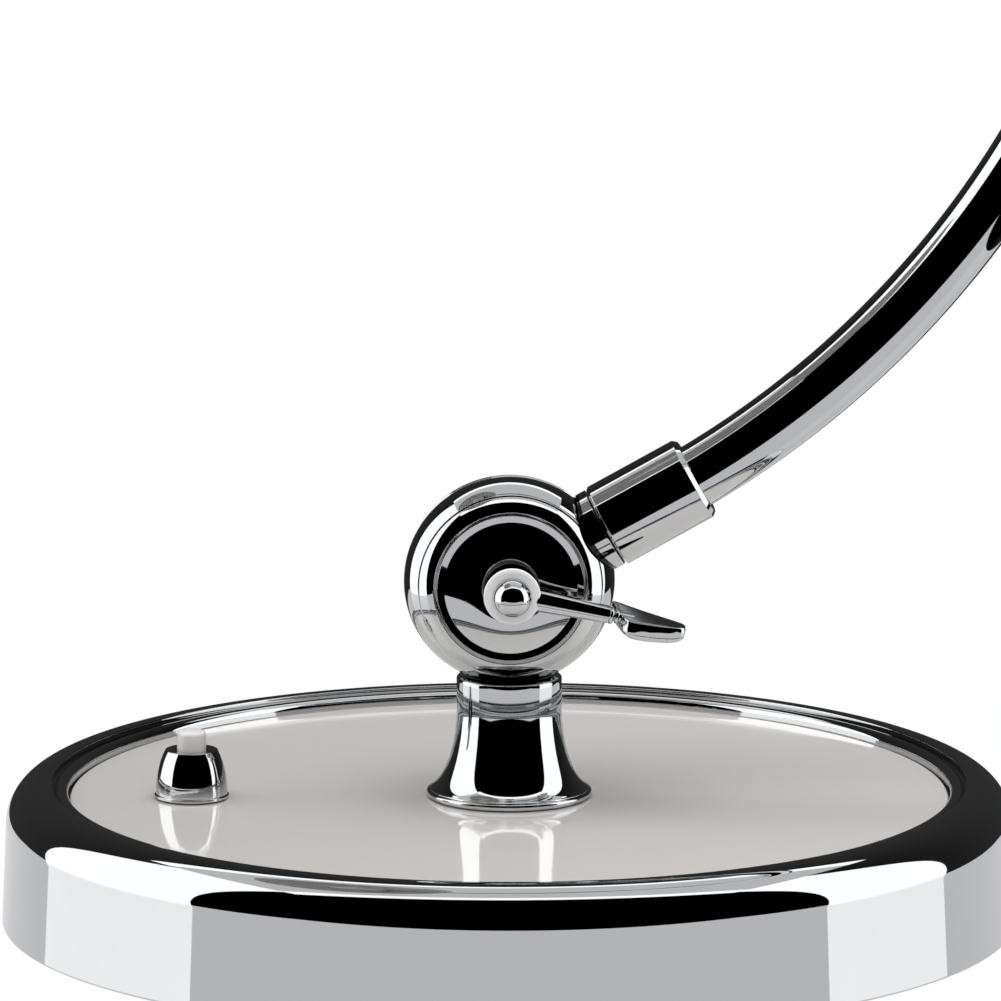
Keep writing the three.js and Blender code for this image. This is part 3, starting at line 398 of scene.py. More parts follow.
BASE_RADIUS = 99.2
RING_WALL = 1.4
RING_LIFT = 0.8
SHOULDER_RADIUS = 8.0
PLATE_HEIGHT = 25.5
SHOULDER_MIDDLE = BASE_RADIUS - 0.8 - SHOULDER_RADIUS
SHOULDER_HEIGHT = PLATE_HEIGHT + 3.0 - SHOULDER_RADIUS
BEAD_RADIUS = 1.45
BEAD_MIDDLE = SHOULDER_MIDDLE - 1.35 - BEAD_RADIUS
BEAD_HEIGHT = PLATE_HEIGHT + 2.2 - BEAD_RADIUS
BEAD_OUTSIDE = BEAD_MIDDLE + BEAD_RADIUS
SEAM_FLOOR = 26.75
RING_OPENING = BEAD_MIDDLE - BEAD_RADIUS
PLATE_UNDER = PLATE_HEIGHT - 1.5
turned_piece("chromed_base_ring", [
    (BASE_RADIUS - RING_WALL, RING_LIFT, 0),
    (BASE_RADIUS, RING_LIFT, 0.5),
    *arc_corners(SHOULDER_MIDDLE, SHOULDER_HEIGHT, SHOULDER_RADIUS, 0, 94, 60),
    (BEAD_OUTSIDE + 0.34, SHOULDER_HEIGHT + SHOULDER_RADIUS - 0.12, 0.35),
    (BEAD_OUTSIDE + 0.28, SEAM_FLOOR, 0.12),
    *arc_corners(BEAD_MIDDLE, BEAD_HEIGHT, BEAD_RADIUS, 24, 180, 30),
    (RING_OPENING, PLATE_UNDER, 0.2),
    (SHOULDER_MIDDLE, PLATE_UNDER, 0.3),
    *arc_corners(SHOULDER_MIDDLE, SHOULDER_HEIGHT, SHOULDER_RADIUS - RING_WALL, 44, 0, 12),
], "base", ["base_ring"], sides=360)


# ---------------------------------------------------------------------------------------------------------
# Enamelled plate: a flat steel disc with a glossy stoved finish in a warm pale grey. It lies on the ballast
# inside the ring's bead, and is bored for the nipple and for the switch.
# ---------------------------------------------------------------------------------------------------------
enamel = surface("pale_grey_enamel", (0.585, 0.572, 0.56), 0.0, (0.07, 0.13), grain=420.0, bump=0.10,
                 bump_depth=0.00001, spread=0.012, coat=0.6)
FIT_GAP = 0.3
PLATE_RADIUS = RING_OPENING - FIT_GAP
PLATE_EDGE = 0.25
NIPPLE_HOLE = 5.1
SWITCH_HOLE = 4.9
HOLE_SIDES = 48
RIM_SIDES = 256
button_low, button_high = (np.array(corner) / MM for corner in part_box("switch_button"))
SWITCH_X = (button_low[0] + button_high[0]) / 2


def circle(x, y, radius, height, sides):
    """Points at equal angles round (x, y)."""
    angles = np.linspace(0, 2 * np.pi, sides, endpoint=False)
    return np.stack([x + radius * np.cos(angles), y + radius * np.sin(angles), height + 0 * angles], axis=1)


def bored_plate():
    """The flat face between the edge and the two holes is filled with triangles, above and below; the walls
    are rows of quads between circles of the same centre, with the edge's corner cut off above."""
    rim = ((PLATE_RADIUS - PLATE_EDGE, PLATE_HEIGHT), (PLATE_RADIUS, PLATE_HEIGHT - PLATE_EDGE),
           (PLATE_RADIUS, PLATE_UNDER))
    loops = [[circle(0, 0, radius, height, RIM_SIDES) for radius, height in rim]]
    for x, radius in ((0.0, NIPPLE_HOLE), (SWITCH_X, SWITCH_HOLE)):
        loops.append([circle(x, 0.0, radius, height, HOLE_SIDES) for height in (PLATE_HEIGHT, PLATE_UNDER)])
    work = bmesh.new()
    tops, bottoms = [], []
    for number, rows in enumerate(loops):
        made = [[work.verts.new(point * MM) for point in row] for row in rows]
        for upper, lower in zip(made, made[1:]):
            for i in range(len(upper)):
                j = (i + 1) % len(upper)
                quad = (upper[i], lower[i], lower[j], upper[j])
                work.faces.new(quad if number == 0 else quad[::-1])
        for row, level in ((made[0], tops), (made[-1], bottoms)):
            level.extend(work.edges.get((row[i], row[(i + 1) % len(row)])) for i in range(len(row)))
    for level, way in ((tops, 1), (bottoms, -1)):
        bmesh.ops.triangle_fill(work, use_beauty=True, use_dissolve=False, edges=level, normal=(0, 0, way))
    bmesh.ops.recalc_face_normals(work, faces=work.faces)
    mesh = bpy.data.meshes.new("enamelled_plate")
    work.to_mesh(mesh)
    work.free()
    mesh.materials.append(enamel)
    plate = bpy.data.objects.new("enamelled_plate", mesh)
    bpy.context.collection.objects.link(plate)
    return plate


plate = bored_plate()
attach(plate, "base")
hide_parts("enamel_plate")


# ---------------------------------------------------------------------------------------------------------
# Stem: turned brass, chromed. A rounded lip on the plate, a hollow-cheeked flare, a straight neck, and a
# saddle cut across its top to the shape of the joint's drum.
# ---------------------------------------------------------------------------------------------------------
def bend_corners(start, leave, arrive, stop, steps):
    """Corners along a cubic curve from start to stop, leaving towards one point and arriving from another."""
    t = np.linspace(0, 1, steps + 1)[:, None]
    start, leave, arrive, stop = (np.array(p, float) for p in (start, leave, arrive, stop))
    curve = (1 - t) ** 3 * start + 3 * t * (1 - t) ** 2 * leave
    curve = curve + 3 * t ** 2 * (1 - t) * arrive + t ** 3 * stop
    return [(x, y, 0.0) for x, y in curve]


def saddled(name, corners, wall_top, bore, joint_height, drum, body, replaced, place, sides=160,
            lip=0.45, root=None):
    """A turned piece whose upper end is cut to a drum that lies across it. Each point on the end is lowered
    to the drum's envelope: at (x, y) the drum's surface is at
    h = joint height - sqrt((middle + sqrt(g^2 - y^2))^2 - x^2), with g the dome's radius and its clearance.
    The corners run from the bore's foot outwards and up the wall. The last rows of the wall and the end take
    the root's material, where one is given: on the collars, a near-black painted shade."""
    profile, _ = filleted(corners)
    angles = np.linspace(0, 2 * np.pi, sides, endpoint=False)
    outer = profile[-1, 0]
    straight = profile[-1, 1]
    wall_rows, edge_rows, end_rows, bore_rows, plain_rows = 13, 6, 25, 6, 8
    wall = np.linspace(straight, wall_top - lip, wall_rows + 1)[1:]
    edge = np.radians(np.linspace(0, 90, edge_rows + 1))[1:]
    inwards = np.linspace(outer - lip, bore, end_rows + 1)[1:]
    end_r = np.concatenate([np.full(wall_rows, outer), outer - lip + lip * np.cos(edge), inwards])
    end_h = np.concatenate([wall, wall_top - lip + lip * np.sin(edge), np.full(end_rows, wall_top)])
    inner_h = np.linspace(wall_top, profile[0, 1], bore_rows + 2)[1:-1]
    r = np.concatenate([profile[:, 0], end_r, np.full(len(inner_h), bore)])
    h = np.concatenate([profile[:, 1], end_h, inner_h])
    x = r[:, None] * np.cos(angles)
    y = r[:, None] * np.sin(angles)
    z = np.repeat(h[:, None], sides, axis=1)
    middle, dome = drum
    inside = np.clip(dome ** 2 - y ** 2, 0, None)
    reach = np.clip((middle + np.sqrt(inside)) ** 2 - x ** 2, 0, None)
    roof = np.where(np.abs(y) < dome, joint_height - np.sqrt(reach), wall_top + 1)
    base_h = straight - 0.5
    height_share = np.clip((z - base_h) / (wall_top - base_h), 0, 1)
    lowered = base_h + height_share * (np.minimum(roof, wall_top) - base_h)
    z = np.where(z > base_h, lowered, z)
    grid = np.stack([x, y, z], axis=-1).reshape(-1, 3) @ place[:3, :3].T + place[:3, 3]
    materials = [chrome, root] if root else [chrome]
    root_painted_shade_faces = np.repeat((np.arange(len(r)) >= len(profile) + plain_rows).astype(int), sides) if root else None
    return put_in_scene(name, grid, list(grid_faces(len(r), sides, True)), materials, body, replaced,
                        face_material=root_painted_shade_faces, crease=30.0)


JOINTS = {joint["name"]: np.array(joint["pos_m"]) / MM for joint in frame["record"]["behaviour"]["joints"]}
LOWER_CENTRE = JOINTS["arm_tilt"]
STEM_SEAT = PLATE_HEIGHT + FIT_GAP
STEM_TOP = PLATE_HEIGHT + 24.0
NECK_RADIUS = 10.3
FOOT_RADIUS = 16.15
LOWER_DRUM = 20.6
LOWER_DOME = 10.4
saddled("turned_stem", [
    (NIPPLE_HOLE, STEM_SEAT, 0),
    (FOOT_RADIUS - 0.25, STEM_SEAT, 0.1),
    *arc_corners(FOOT_RADIUS - 0.65, STEM_SEAT + 0.65, 0.65, -50, 86, 12),
    (FOOT_RADIUS - 0.62, STEM_SEAT + 1.40, 0.1),
    *bend_corners((FOOT_RADIUS - 0.75, STEM_SEAT + 1.55), (FOOT_RADIUS - 3.2, STEM_SEAT + 3.1),
                  (NECK_RADIUS + 0.38, STEM_SEAT + 8.2), (NECK_RADIUS, STEM_SEAT + 16.4), 40),
    (NECK_RADIUS - 0.03, STEM_SEAT + 17.0, 0),
], STEM_TOP, NIPPLE_HOLE, LOWER_CENTRE[2], (LOWER_DRUM - LOWER_DOME, LOWER_DOME + FIT_GAP), "base", ["stem"],
    IDENTITY)


# ---------------------------------------------------------------------------------------------------------
# Friction joints: each is two turned half drums on one bolt with a fibre washer between them. A half has a
# domed rim with one fine engraved line, a crest, a cove and a sunk, slightly domed face.
# ---------------------------------------------------------------------------------------------------------
fibre = surface("red_brown_fibre", (0.22, 0.10, 0.05), 0.0, (0.6, 0.85), grain=1500.0, bump=0.4, spread=0.12)
zinc = surface("zinc_plate", (0.46, 0.47, 0.49), 1.0, (0.28, 0.42), grain=2400.0, bump=0.2, spread=0.06)
SPRING_WASHER = 1.5


def joint_stack(joint):
    """Depths along the bolt from the joint's middle: the edge of the sunk face and its middle, and where the
    washer, the lever's hub, the hub's front and the nut come, each a fit gap past the one before."""
    edge = joint["dome"] - joint["recess"] - 0.5
    face = edge + joint["crown"]
    washer = face + FIT_GAP
    hub = washer + SPRING_WASHER + FIT_GAP
    front = hub + joint["hub_depth"]
    return {"edge": edge, "face": face, "washer": washer, "hub": hub, "front": front, "nut": front + FIT_GAP}


def half_drum(name, joint, centre, side, body, replaced):
    """Profile of a half: the rim is an arc of the dome's radius about the ring where the dome is centred, and
    the sunk face rises by crown (1 - (r / face radius)^2) towards the bolt."""
    middle = joint["drum"] - joint["dome"]
    k = joint["scale"]
    back = joint["washer"] / 2 + FIT_GAP
    start = math.degrees(math.asin(back / joint["dome"]))
    finish = math.degrees(math.acos((joint["crest"] - middle) / joint["dome"]))
    line = math.degrees(math.acos((joint["line"] - middle) / joint["dome"]))
    crest_height = joint["dome"] * math.sin(math.radians(finish))
    stack = joint_stack(joint)
    edge, face_middle = stack["edge"], stack["face"]
    sunk = joint["dome"] - 0.16 * k
    half_line = 0.9
    groove = (middle + sunk * math.cos(math.radians(line)), sunk * math.sin(math.radians(line)), 0.05)
    bore = joint["bolt"] + FIT_GAP
    seat = joint["hub"] + 0.4
    r = np.linspace(joint["face"] - 0.4 * k, seat, 24)
    domed = edge + (face_middle - edge) * (1 - ((r - seat) / (joint["face"] - seat)) ** 2)
    corners = [
        (bore, back, 0),
        *arc_corners(middle, 0, joint["dome"], start, line - half_line, 40),
        groove,
        *arc_corners(middle, 0, joint["dome"], line + half_line, finish - 2, 30),
        (joint["crest"] - 0.10 * k, crest_height + 0.06 * k, 0.25 * k),
        (joint["crest"] - 0.85 * k, edge + 0.17 * k, 0.35 * k),
        (joint["face"], edge, 0.3 * k),
        *zip(r, domed, np.zeros_like(r)),
        (bore, face_middle, 0),
    ]
    place = frame_at(centre, (0, side, 0))
    turned_piece(name, corners, body, replaced, sides=256, place=place)


LOWER = {
    "drum": LOWER_DRUM, "dome": LOWER_DOME, "crest": 15.2, "face": 13.0, "line": 17.9, "recess": 1.5,
    "crown": 0.8, "washer": 1.0, "bolt": 3.0, "hub": 5.6, "hub_depth": 5.4, "reach": 34.5, "paddle": 14.9,
    "paddle_width": 8.9, "turn": -12.0, "scale": 1.0,
}
UPPER = {
    "drum": 16.4, "dome": 8.3, "crest": 12.1, "face": 10.4, "line": 14.2, "recess": 1.2,
    "crown": 0.6, "washer": 0.9, "bolt": 2.5, "hub": 4.6, "hub_depth": 5.4, "reach": 27.6, "paddle": 11.9,
    "paddle_width": 7.1, "turn": 24.0, "scale": 0.8,
}
UPPER_CENTRE = JOINTS["head_tilt"]


def joint_washers_and_bolt(prefix, joint, centre, body):
    """Fibre disc between the halves, sprung washer on the sunk face, and the bolt with its round head."""
    place = frame_at(centre, (0, -1, 0))
    half = joint["washer"] / 2
    bore = joint["bolt"] + FIT_GAP
    rim = joint["drum"] - 2.5
    turned_piece(prefix + "_fibre_disc", [
        (bore, half, 0), (bore, -half, 0.1), (rim, -half, 0.1), (rim, half, 0.1), (bore + 1, half, 0),
    ], body, [prefix + "_friction_washer"], sides=96, place=place, material=fibre)
    stack = joint_stack(joint)
    low = stack["washer"]
    high = low + SPRING_WASHER
    turned_piece(prefix + "_sprung_washer", [
        (bore, high, 0), (bore, low, 0.1), (joint["hub"] + 0.1, low, 0.2), (joint["hub"] - 0.3, high, 0.2),
        (bore + 1, high, 0),
    ], body, [prefix + "_spring_washer"], sides=96, place=place, material=zinc)
    head = -low
    end = stack["nut"] + 1.4
    turned_piece(prefix + "_joint_bolt", [
        (0, head - 2.6, 0), (joint["hub"] - 0.9, head - 2.6, 0.9), (joint["hub"], head - 1.5, 0.6),
        (joint["hub"], head, 0.15), (joint["bolt"], head, 0.1), (joint["bolt"], end, 0.3), (0, end, 0),
    ], body, [prefix + "_bolt"], sides=96, place=place)


half_drum("lower_rear_half_drum", LOWER, LOWER_CENTRE, 1, "base", ["lower_rear_half"])
half_drum("lower_front_half_drum", LOWER, LOWER_CENTRE, -1, "arm", ["lower_front_half"])
joint_washers_and_bolt("lower", LOWER, LOWER_CENTRE, "base")
half_drum("upper_rear_half_drum", UPPER, UPPER_CENTRE, 1, "arm", ["upper_rear_half"])
half_drum("upper_front_half_drum", UPPER, UPPER_CENTRE, -1, "head", ["upper_front_half"])
joint_washers_and_bolt("upper", UPPER, UPPER_CENTRE, "arm")


# ---------------------------------------------------------------------------------------------------------
# Clamp levers and dome nuts: a cast and polished lever with a bored hub that is faced off in front, an arm,
# a beaded waist and a thumb paddle with a flat satin top. A blind nut with a ball end holds it on the bolt.
# ---------------------------------------------------------------------------------------------------------
satin_chrome = surface("satin_chrome", CHROME, 1.0, (0.16, 0.20), grain=1600.0, bump=0.05, spread=0.03)
faced_chrome = surface("faced_chrome", (0.86, 0.86, 0.87), 0.1, (0.34, 0.42), grain=1600.0, bump=0.05,
                       spread=0.03)


def swept_faces(rows, columns, turned_over=False):
    """Faces of a sweep that is closed at both ends: the grid's quads, and from each end ring a fan of
    triangles to the vertex at its middle. The two middle vertices follow the grid's own."""
    first = np.arange(columns)
    last = (rows - 1) * columns + first
    quads = grid_faces(rows, columns, False)
    if turned_over:
        quads = quads[:, ::-1]
    first_fan = end_fan(first, rows * columns, reverse=not turned_over)
    return list(quads) + first_fan + end_fan(last, rows * columns + 1, reverse=turned_over)


def bead(r, at, wide, high):
    """Half an ellipse that stands at one place along r: high sqrt(1 - ((r - at) / wide)^2), and 0 elsewhere."""
    return high * np.sqrt(np.clip(1 - ((r - at) / wide) ** 2, 0, 1))


def eased(t, start, stop):
    """0 before start, 1 after stop, and 3s^2 - 2s^3 between."""
    s = np.clip((t - start) / (stop - start), 0, 1)
    return s * s * (3 - 2 * s)


def smooth_loop(points, count):
    """A closed Catmull-Rom curve: between two points it is a cubic whose ends run parallel to the lines
    that join their neighbours."""
    points = np.array(points, float)
    t = np.linspace(0, len(points), count, endpoint=False)
    i, u = t.astype(int), (t % 1)[:, None]
    a, b, c, d = (points[(i + k) % len(points)] for k in (-1, 0, 1, 2))
    bend = a - 2.5 * b + 2 * c - d / 2
    return b + u * (c - a) / 2 + u ** 2 * bend + u ** 3 * (1.5 * (b - c) + (d - a) / 2)


PADDLE_SHEAR = math.tan(math.radians(12))
PADDLE_TOP_ROW = 14
PADDLE_OUTLINE = (
    (0.0, 0.55), (0.04, 0.27), (0.12, -0.07), (0.20, -0.30), (0.31, -0.41), (0.52, -0.37), (0.71, -0.31),
    (0.88, -0.24), (0.975, -0.15), (1.0, -0.03), (0.96, 0.09), (0.71, 0.22), (0.52, 0.31), (0.28, 0.44),
    (0.10, 0.55), (0.03, 0.58),
)


def paddle_arrays(joint, start, middle):
    """Thumb paddle: the outline is drawn in towards one point from row to row. A row's share of the outline
    and its share of the depth follow the edge, from the middle of the belly out to the side wall and back
    over the flat top. The belly's depth is greatest half way along. Last, the paddle is sheared so that its
    top falls to the front, and its wall stays upright. Returns points in (along, across, up)."""
    k = joint["scale"]
    outline = smooth_loop(PADDLE_OUTLINE, 144) * (joint["paddle"], joint["paddle_width"])
    heart = np.array([0.45 * joint["paddle"], 0.02 * joint["paddle_width"]])
    share = np.array([0.25, 0.5, 0.7, 0.82, 0.89, 0.94, 0.975, 0.992, 1.0, 0.998, 0.992, 0.984, 0.973, 0.958,
                      0.938, 0.7, 0.35])
    drop = np.array([1.0, 0.995, 0.975, 0.94, 0.895, 0.83, 0.74, 0.64, 0.50, 0.34, 0.2, 0.1, 0.035, 0.008,
                     0.0, 0.0, 0.0])
    plan = heart + share[:, None, None] * (outline - heart)
    belly = k * (3.25 + 0.5 * np.sin(np.pi * np.clip(plan[..., 0] / joint["paddle"], 0, 1)))
    up = 0.85 - drop[:, None] * belly
    up = up + plan[..., 1] * PADDLE_SHEAR
    rows, columns = up.shape
    points = np.stack([start + plan[..., 0], plan[..., 1], up], axis=-1).reshape(-1, 3)
    poles = [points[:columns].mean(axis=0), points[-columns:].mean(axis=0)]
    faces = swept_faces(rows, columns)
    flat = np.zeros(len(faces), dtype=int)
    flat[PADDLE_TOP_ROW * columns:(rows - 1) * columns] = 1
    flat[-columns:] = 1
    return np.vstack([points, poles]), faces, flat


def clamp_lever(name, joint, centre, body, replaced):
    """The hub is turned about the bolt, and its front ring is faced. The arm with its two beads is a sweep
    along the lever: the section at distance r is a superellipse |y/w|^n + |z/h|^n = 1, with w, h and n as
    functions of r."""
    stack = joint_stack(joint)
    low, front = stack["hub"], stack["front"]
    bore = joint["bolt"] + FIT_GAP
    turn = math.radians(joint["turn"])
    k = joint["scale"]
    hub_profile, hub_tangents = filleted([
        (bore, front, 0), (bore, low, 0.1), (joint["hub"] - 0.1, low, 0.4),
        (joint["hub"], front - 0.1, 0.5 * k), (joint["hub"] - 0.75 * k, front, 0.1), (bore + 0.2, front, 0),
    ])
    hub_sides = 96
    hub_place = frame_at(centre, (0, -1, 0))
    hub_points, hub_faces, _ = turned_arrays(hub_profile, hub_tangents, hub_sides, hub_place)
    faced = np.minimum(hub_profile[:, 1], np.roll(hub_profile[:, 1], -1)) > front - 0.3 * k
    hub_flat = np.repeat(faced.astype(int), hub_sides)

    start = joint["reach"] - joint["paddle"]
    waist = start + 1.35
    r = np.concatenate([
        np.linspace(joint["bolt"] + 0.9, waist - 1.75, 40)[:-1], np.linspace(waist - 1.75, waist + 3.2, 80),
    ])
    along = np.clip((r - joint["bolt"]) / (waist - joint["bolt"]), 0, 1)
    beads = 1.05 + np.maximum(bead(r, waist - 1.2, 0.54, 0.72), bead(r, waist - 0.1, 0.46, 0.42))
    into_beads = eased(r, waist - 1.72, waist - 1.62)
    height = (2.25 - 0.62 * along) * (1 - into_beads) + beads * into_beads
    width = 1.6 * (1 - into_beads) + beads * into_beads
    power = (2.6 * (1 - into_beads) + 2.0 * into_beads)[:, None]
    around = np.linspace(0, 2 * np.pi, 72, endpoint=False)
    cos, sin = np.cos(around), np.sin(around)
    across = -width[:, None] * np.sign(cos) * np.abs(cos) ** (2 / power)
    up = height[:, None] * np.sign(sin) * np.abs(sin) ** (2 / power)
    rows, columns = up.shape
    arm = np.stack([np.repeat(r[:, None], columns, axis=1), across, up], axis=-1).reshape(-1, 3)
    arm = np.vstack([arm, arm[:columns].mean(axis=0), arm[-columns:].mean(axis=0)])
    arm_faces = swept_faces(rows, columns, turned_over=True)

    paddle, paddle_faces, paddle_flat = paddle_arrays(joint, start, waist)
    radial = np.array([math.cos(turn), 0, math.sin(turn)])
    upward = np.array([-math.sin(turn), 0, math.cos(turn)])
    origin = centre + np.array([0, -(front - 1.6), 0])
    local = np.vstack([arm, paddle])
    placed = origin + local[:, :1] * radial + local[:, 1:2] * np.array([0, 1.0, 0]) + local[:, 2:] * upward
    points = np.vstack([placed, hub_points])
    faces = arm_faces + [f + len(arm) for f in paddle_faces] + [f + len(local) for f in hub_faces]
    flat = np.concatenate([np.zeros(len(arm_faces), dtype=int), paddle_flat, 2 * hub_flat])
    return put_in_scene(name, points, faces, [chrome, satin_chrome, faced_chrome], body, replaced,
                        face_material=flat, crease=38.0)


def dome_nut(name, joint, centre, body, replaced):
    """A short flange with a ball end; the back is bored for the bolt."""
    low = joint_stack(joint)["nut"]
    radius = joint["hub"] * 0.68
    bore = joint["bolt"] + 0.2
    turned_piece(name, [
        (0, low + 1.7, 0), (bore, low + 1.7, 0), (bore, low, 0.1), (radius + 0.05, low, 0.1),
        (radius + 0.05, low + 0.55, 0.1),
        *arc_corners(0, low + 0.8, radius, 2, 89, 40),
        (0, low + 0.8 + radius, 0),
    ], body, replaced, sides=128, place=frame_at(centre, (0, -1, 0)))


for prefix, joint, centre in (("lower", LOWER, LOWER_CENTRE), ("upper", UPPER, UPPER_CENTRE)):
    clamp_lever(prefix + "_thumb_lever", joint, centre, prefix + "_lever", [prefix + "_clamp_lever"])
    dome_nut(prefix + "_ball_nut", joint, centre, prefix + "_lever", [prefix + "_dome_nut"])


# ---------------------------------------------------------------------------------------------------------
# Arm: a drawn steel tube of half-inch diameter, bent to one long radius and chromed. Each end is brazed in a
# turned sleeve, and a narrow collar closes the sleeve against the joint's drum. The collar's root is painted
# near-black: painted shade for the dark gap where the sleeve meets the drum.
# ---------------------------------------------------------------------------------------------------------
# Near-black gloss on the collars' roots is painted shade for the dark gap where each sleeve meets its drum.
collar_root_painted_shade = surface("collar_root_painted_shade_black", (0.03, 0.03, 0.032), 1.0, (0.05, 0.09), grain=900.0, spread=0.1)
ARM_SLOPE = math.radians(28.96)
BEND_RADIUS = 186.4
BEND_END = math.radians(95)
TUBE_RADIUS = 6.35
TUBE_WALL = 1.0
COLLAR = 0.7
LEAD_BORE = 2.9
ARM_STRAIGHT = 12.15
SLEEVE_LENGTH = 20.1
BEND_SWEEP = math.pi / 2 - ARM_SLOPE + BEND_END
TUBE_START = LOWER_DRUM + FIT_GAP + COLLAR + 1.4


def arm_line(steps):
    """Middle line of the tube from the lower joint: straight, then round a circle, then straight. Returns
    the points and the angle that the line makes with level at each."""
    total = 2 * ARM_STRAIGHT + BEND_RADIUS * BEND_SWEEP
    along = np.linspace(0, total, steps + 1)
    turn = np.clip((along - ARM_STRAIGHT) / BEND_RADIUS, 0, BEND_SWEEP)
    straight = along - turn * BEND_RADIUS
    before = np.minimum(straight, ARM_STRAIGHT)
    after = straight - before
    x = TUBE_START + before + BEND_RADIUS * np.sin(turn) + after * np.cos(turn)
    z = BEND_RADIUS * (1 - np.cos(turn)) + after * np.sin(turn)
    cos, sin = math.cos(ARM_SLOPE), math.sin(ARM_SLOPE)
    line = np.stack([x * cos - z * sin, 0 * x, x * sin + z * cos], axis=1) + LOWER_CENTRE
    return line, turn + ARM_SLOPE


def tube_wall(radius, steps, sides):
    """Circles of that radius square to the arm's middle line, with their outward normals."""
    line, slope = arm_line(steps)
    around = np.linspace(0, 2 * np.pi, sides, endpoint=False)
    side = np.array([0.0, -1.0, 0.0])
    over = np.stack([-np.sin(slope), 0 * slope, np.cos(slope)], axis=1)
    normal = np.cos(around)[None, :, None] * side + np.sin(around)[None, :, None] * over[:, None, :]
    return line[:, None, :] + radius * normal, normal


OUTSIDE_STEPS, INSIDE_STEPS, TUBE_SIDES = 260, 60, 72
outside, outside_normals = tube_wall(TUBE_RADIUS, OUTSIDE_STEPS, TUBE_SIDES)
inside, inside_normals = tube_wall(TUBE_RADIUS - TUBE_WALL, INSIDE_STEPS, TUBE_SIDES)
tube_points = np.vstack([outside.reshape(-1, 3), inside[::-1].reshape(-1, 3)])
tube_normals = np.vstack([outside_normals.reshape(-1, 3), -inside_normals[::-1].reshape(-1, 3)])
tube_faces = grid_faces(OUTSIDE_STEPS + INSIDE_STEPS + 2, TUBE_SIDES, True)[:, ::-1]
put_in_scene("bent_arm_tube", tube_points, list(tube_faces), [chrome], "arm", ["arm_tube"],
             tube_normals)


def arm_sleeve(name, joint, centre, way, wall, body, replaced):
    """Turned sleeve along one way out of a joint, with a small chamfer at its root and a stepped mouth."""
    start = joint["drum"] + FIT_GAP + COLLAR
    mouth = start + SLEEVE_LENGTH
    outer = TUBE_RADIUS + FIT_GAP + wall
    bore = TUBE_RADIUS + FIT_GAP
    turned_piece(name, [
        (bore, mouth - 0.3, 0), (bore, start, 0.1), (outer - 0.45, start, 0.15),
        (outer, start + 0.5, 0.25), (outer, start + 9, 0), (outer, mouth - 0.9, 0.25),
        (outer - 0.75, mouth, 0.2), (bore + 0.15, mouth, 0.1),
    ], body, replaced, sides=160, place=frame_at(centre, way, (0, 1, 0)))


def drum_collar(name, joint, centre, way, wall, body, replaced):
    """Ring between drum and sleeve, bored for the lead. Its root is cut to the drum and painted near-black as
    shade.
    """
    start = joint["drum"] + FIT_GAP + COLLAR
    outer = TUBE_RADIUS + wall
    place = frame_at(centre, -np.array(way), (1, 0, 0))
    foot = -(start - FIT_GAP)
    corners = [(LEAD_BORE, foot, 0), (outer, foot, 0.15), (outer, foot + 0.5, 0)]
    drum = (joint["drum"] - joint["dome"], joint["dome"] + FIT_GAP)
    saddled(name, corners, -joint["drum"] * 0.6, LEAD_BORE, 0.0, drum, body, replaced, place, sides=120,
            lip=0.2, root=collar_root_painted_shade)


lower_way = (math.cos(ARM_SLOPE), 0, math.sin(ARM_SLOPE))
end_slope = ARM_SLOPE + BEND_SWEEP
upper_way = (-math.cos(end_slope), 0, -math.sin(end_slope))
arm_sleeve("lower_arm_sleeve", LOWER, LOWER_CENTRE, lower_way, 1.8, "arm", ["arm_sleeve"])
drum_collar("lower_collar_painted_shade", LOWER, LOWER_CENTRE, lower_way, 1.8, "arm", ["arm_collar"])
arm_sleeve("upper_arm_sleeve", UPPER, UPPER_CENTRE, upper_way, 1.26, "arm", ["upper_sleeve"])
drum_collar("upper_collar_painted_shade", UPPER, UPPER_CENTRE, upper_way, 1.26, "arm", ["upper_collar"])


# ---------------------------------------------------------------------------------------------------------
# Push switch: a spun chromed thimble on the plate, with a satin white button through its flat top. A coil
# spring of plated wire brings the button back. The moulded body and the brass nut hang below the plate.
# ---------------------------------------------------------------------------------------------------------
button_white = surface("ivory_white_button", (0.60, 0.595, 0.585), 0.0, (0.28, 0.4), grain=1800.0, bump=0.12,
                       spread=0.02)
switch_place = frame_at((SWITCH_X, 0, STEM_SEAT), (0, 0, 1))
THIMBLE_BASE = 7.05
THIMBLE_TOP = 5.15
THIMBLE_HEIGHT = 9.4
THIMBLE_CEILING = 7.2
BUTTON_RADIUS = 2.85
turned_piece("switch_cover", [
    (SWITCH_HOLE, THIMBLE_CEILING, 0), (SWITCH_HOLE, 0, 0.1), (THIMBLE_BASE + 0.25, 0, 0.2),
    (THIMBLE_BASE + 0.25, 0.6, 0.25), (THIMBLE_BASE - 0.02, 0.75, 0.08),
    *bend_corners((THIMBLE_BASE, 1.0), (THIMBLE_BASE - 0.05, 4.2), (THIMBLE_TOP + 1.0, 7.4),
                  (THIMBLE_TOP + 0.12, THIMBLE_HEIGHT - 0.35), 30),
    (THIMBLE_TOP - 0.05, THIMBLE_HEIGHT, 0.22), (BUTTON_RADIUS + 0.35, THIMBLE_HEIGHT, 0.12),
    (BUTTON_RADIUS + 0.35, THIMBLE_CEILING, 0.1),
], "base", ["switch_thimble"], sides=160, place=switch_place)


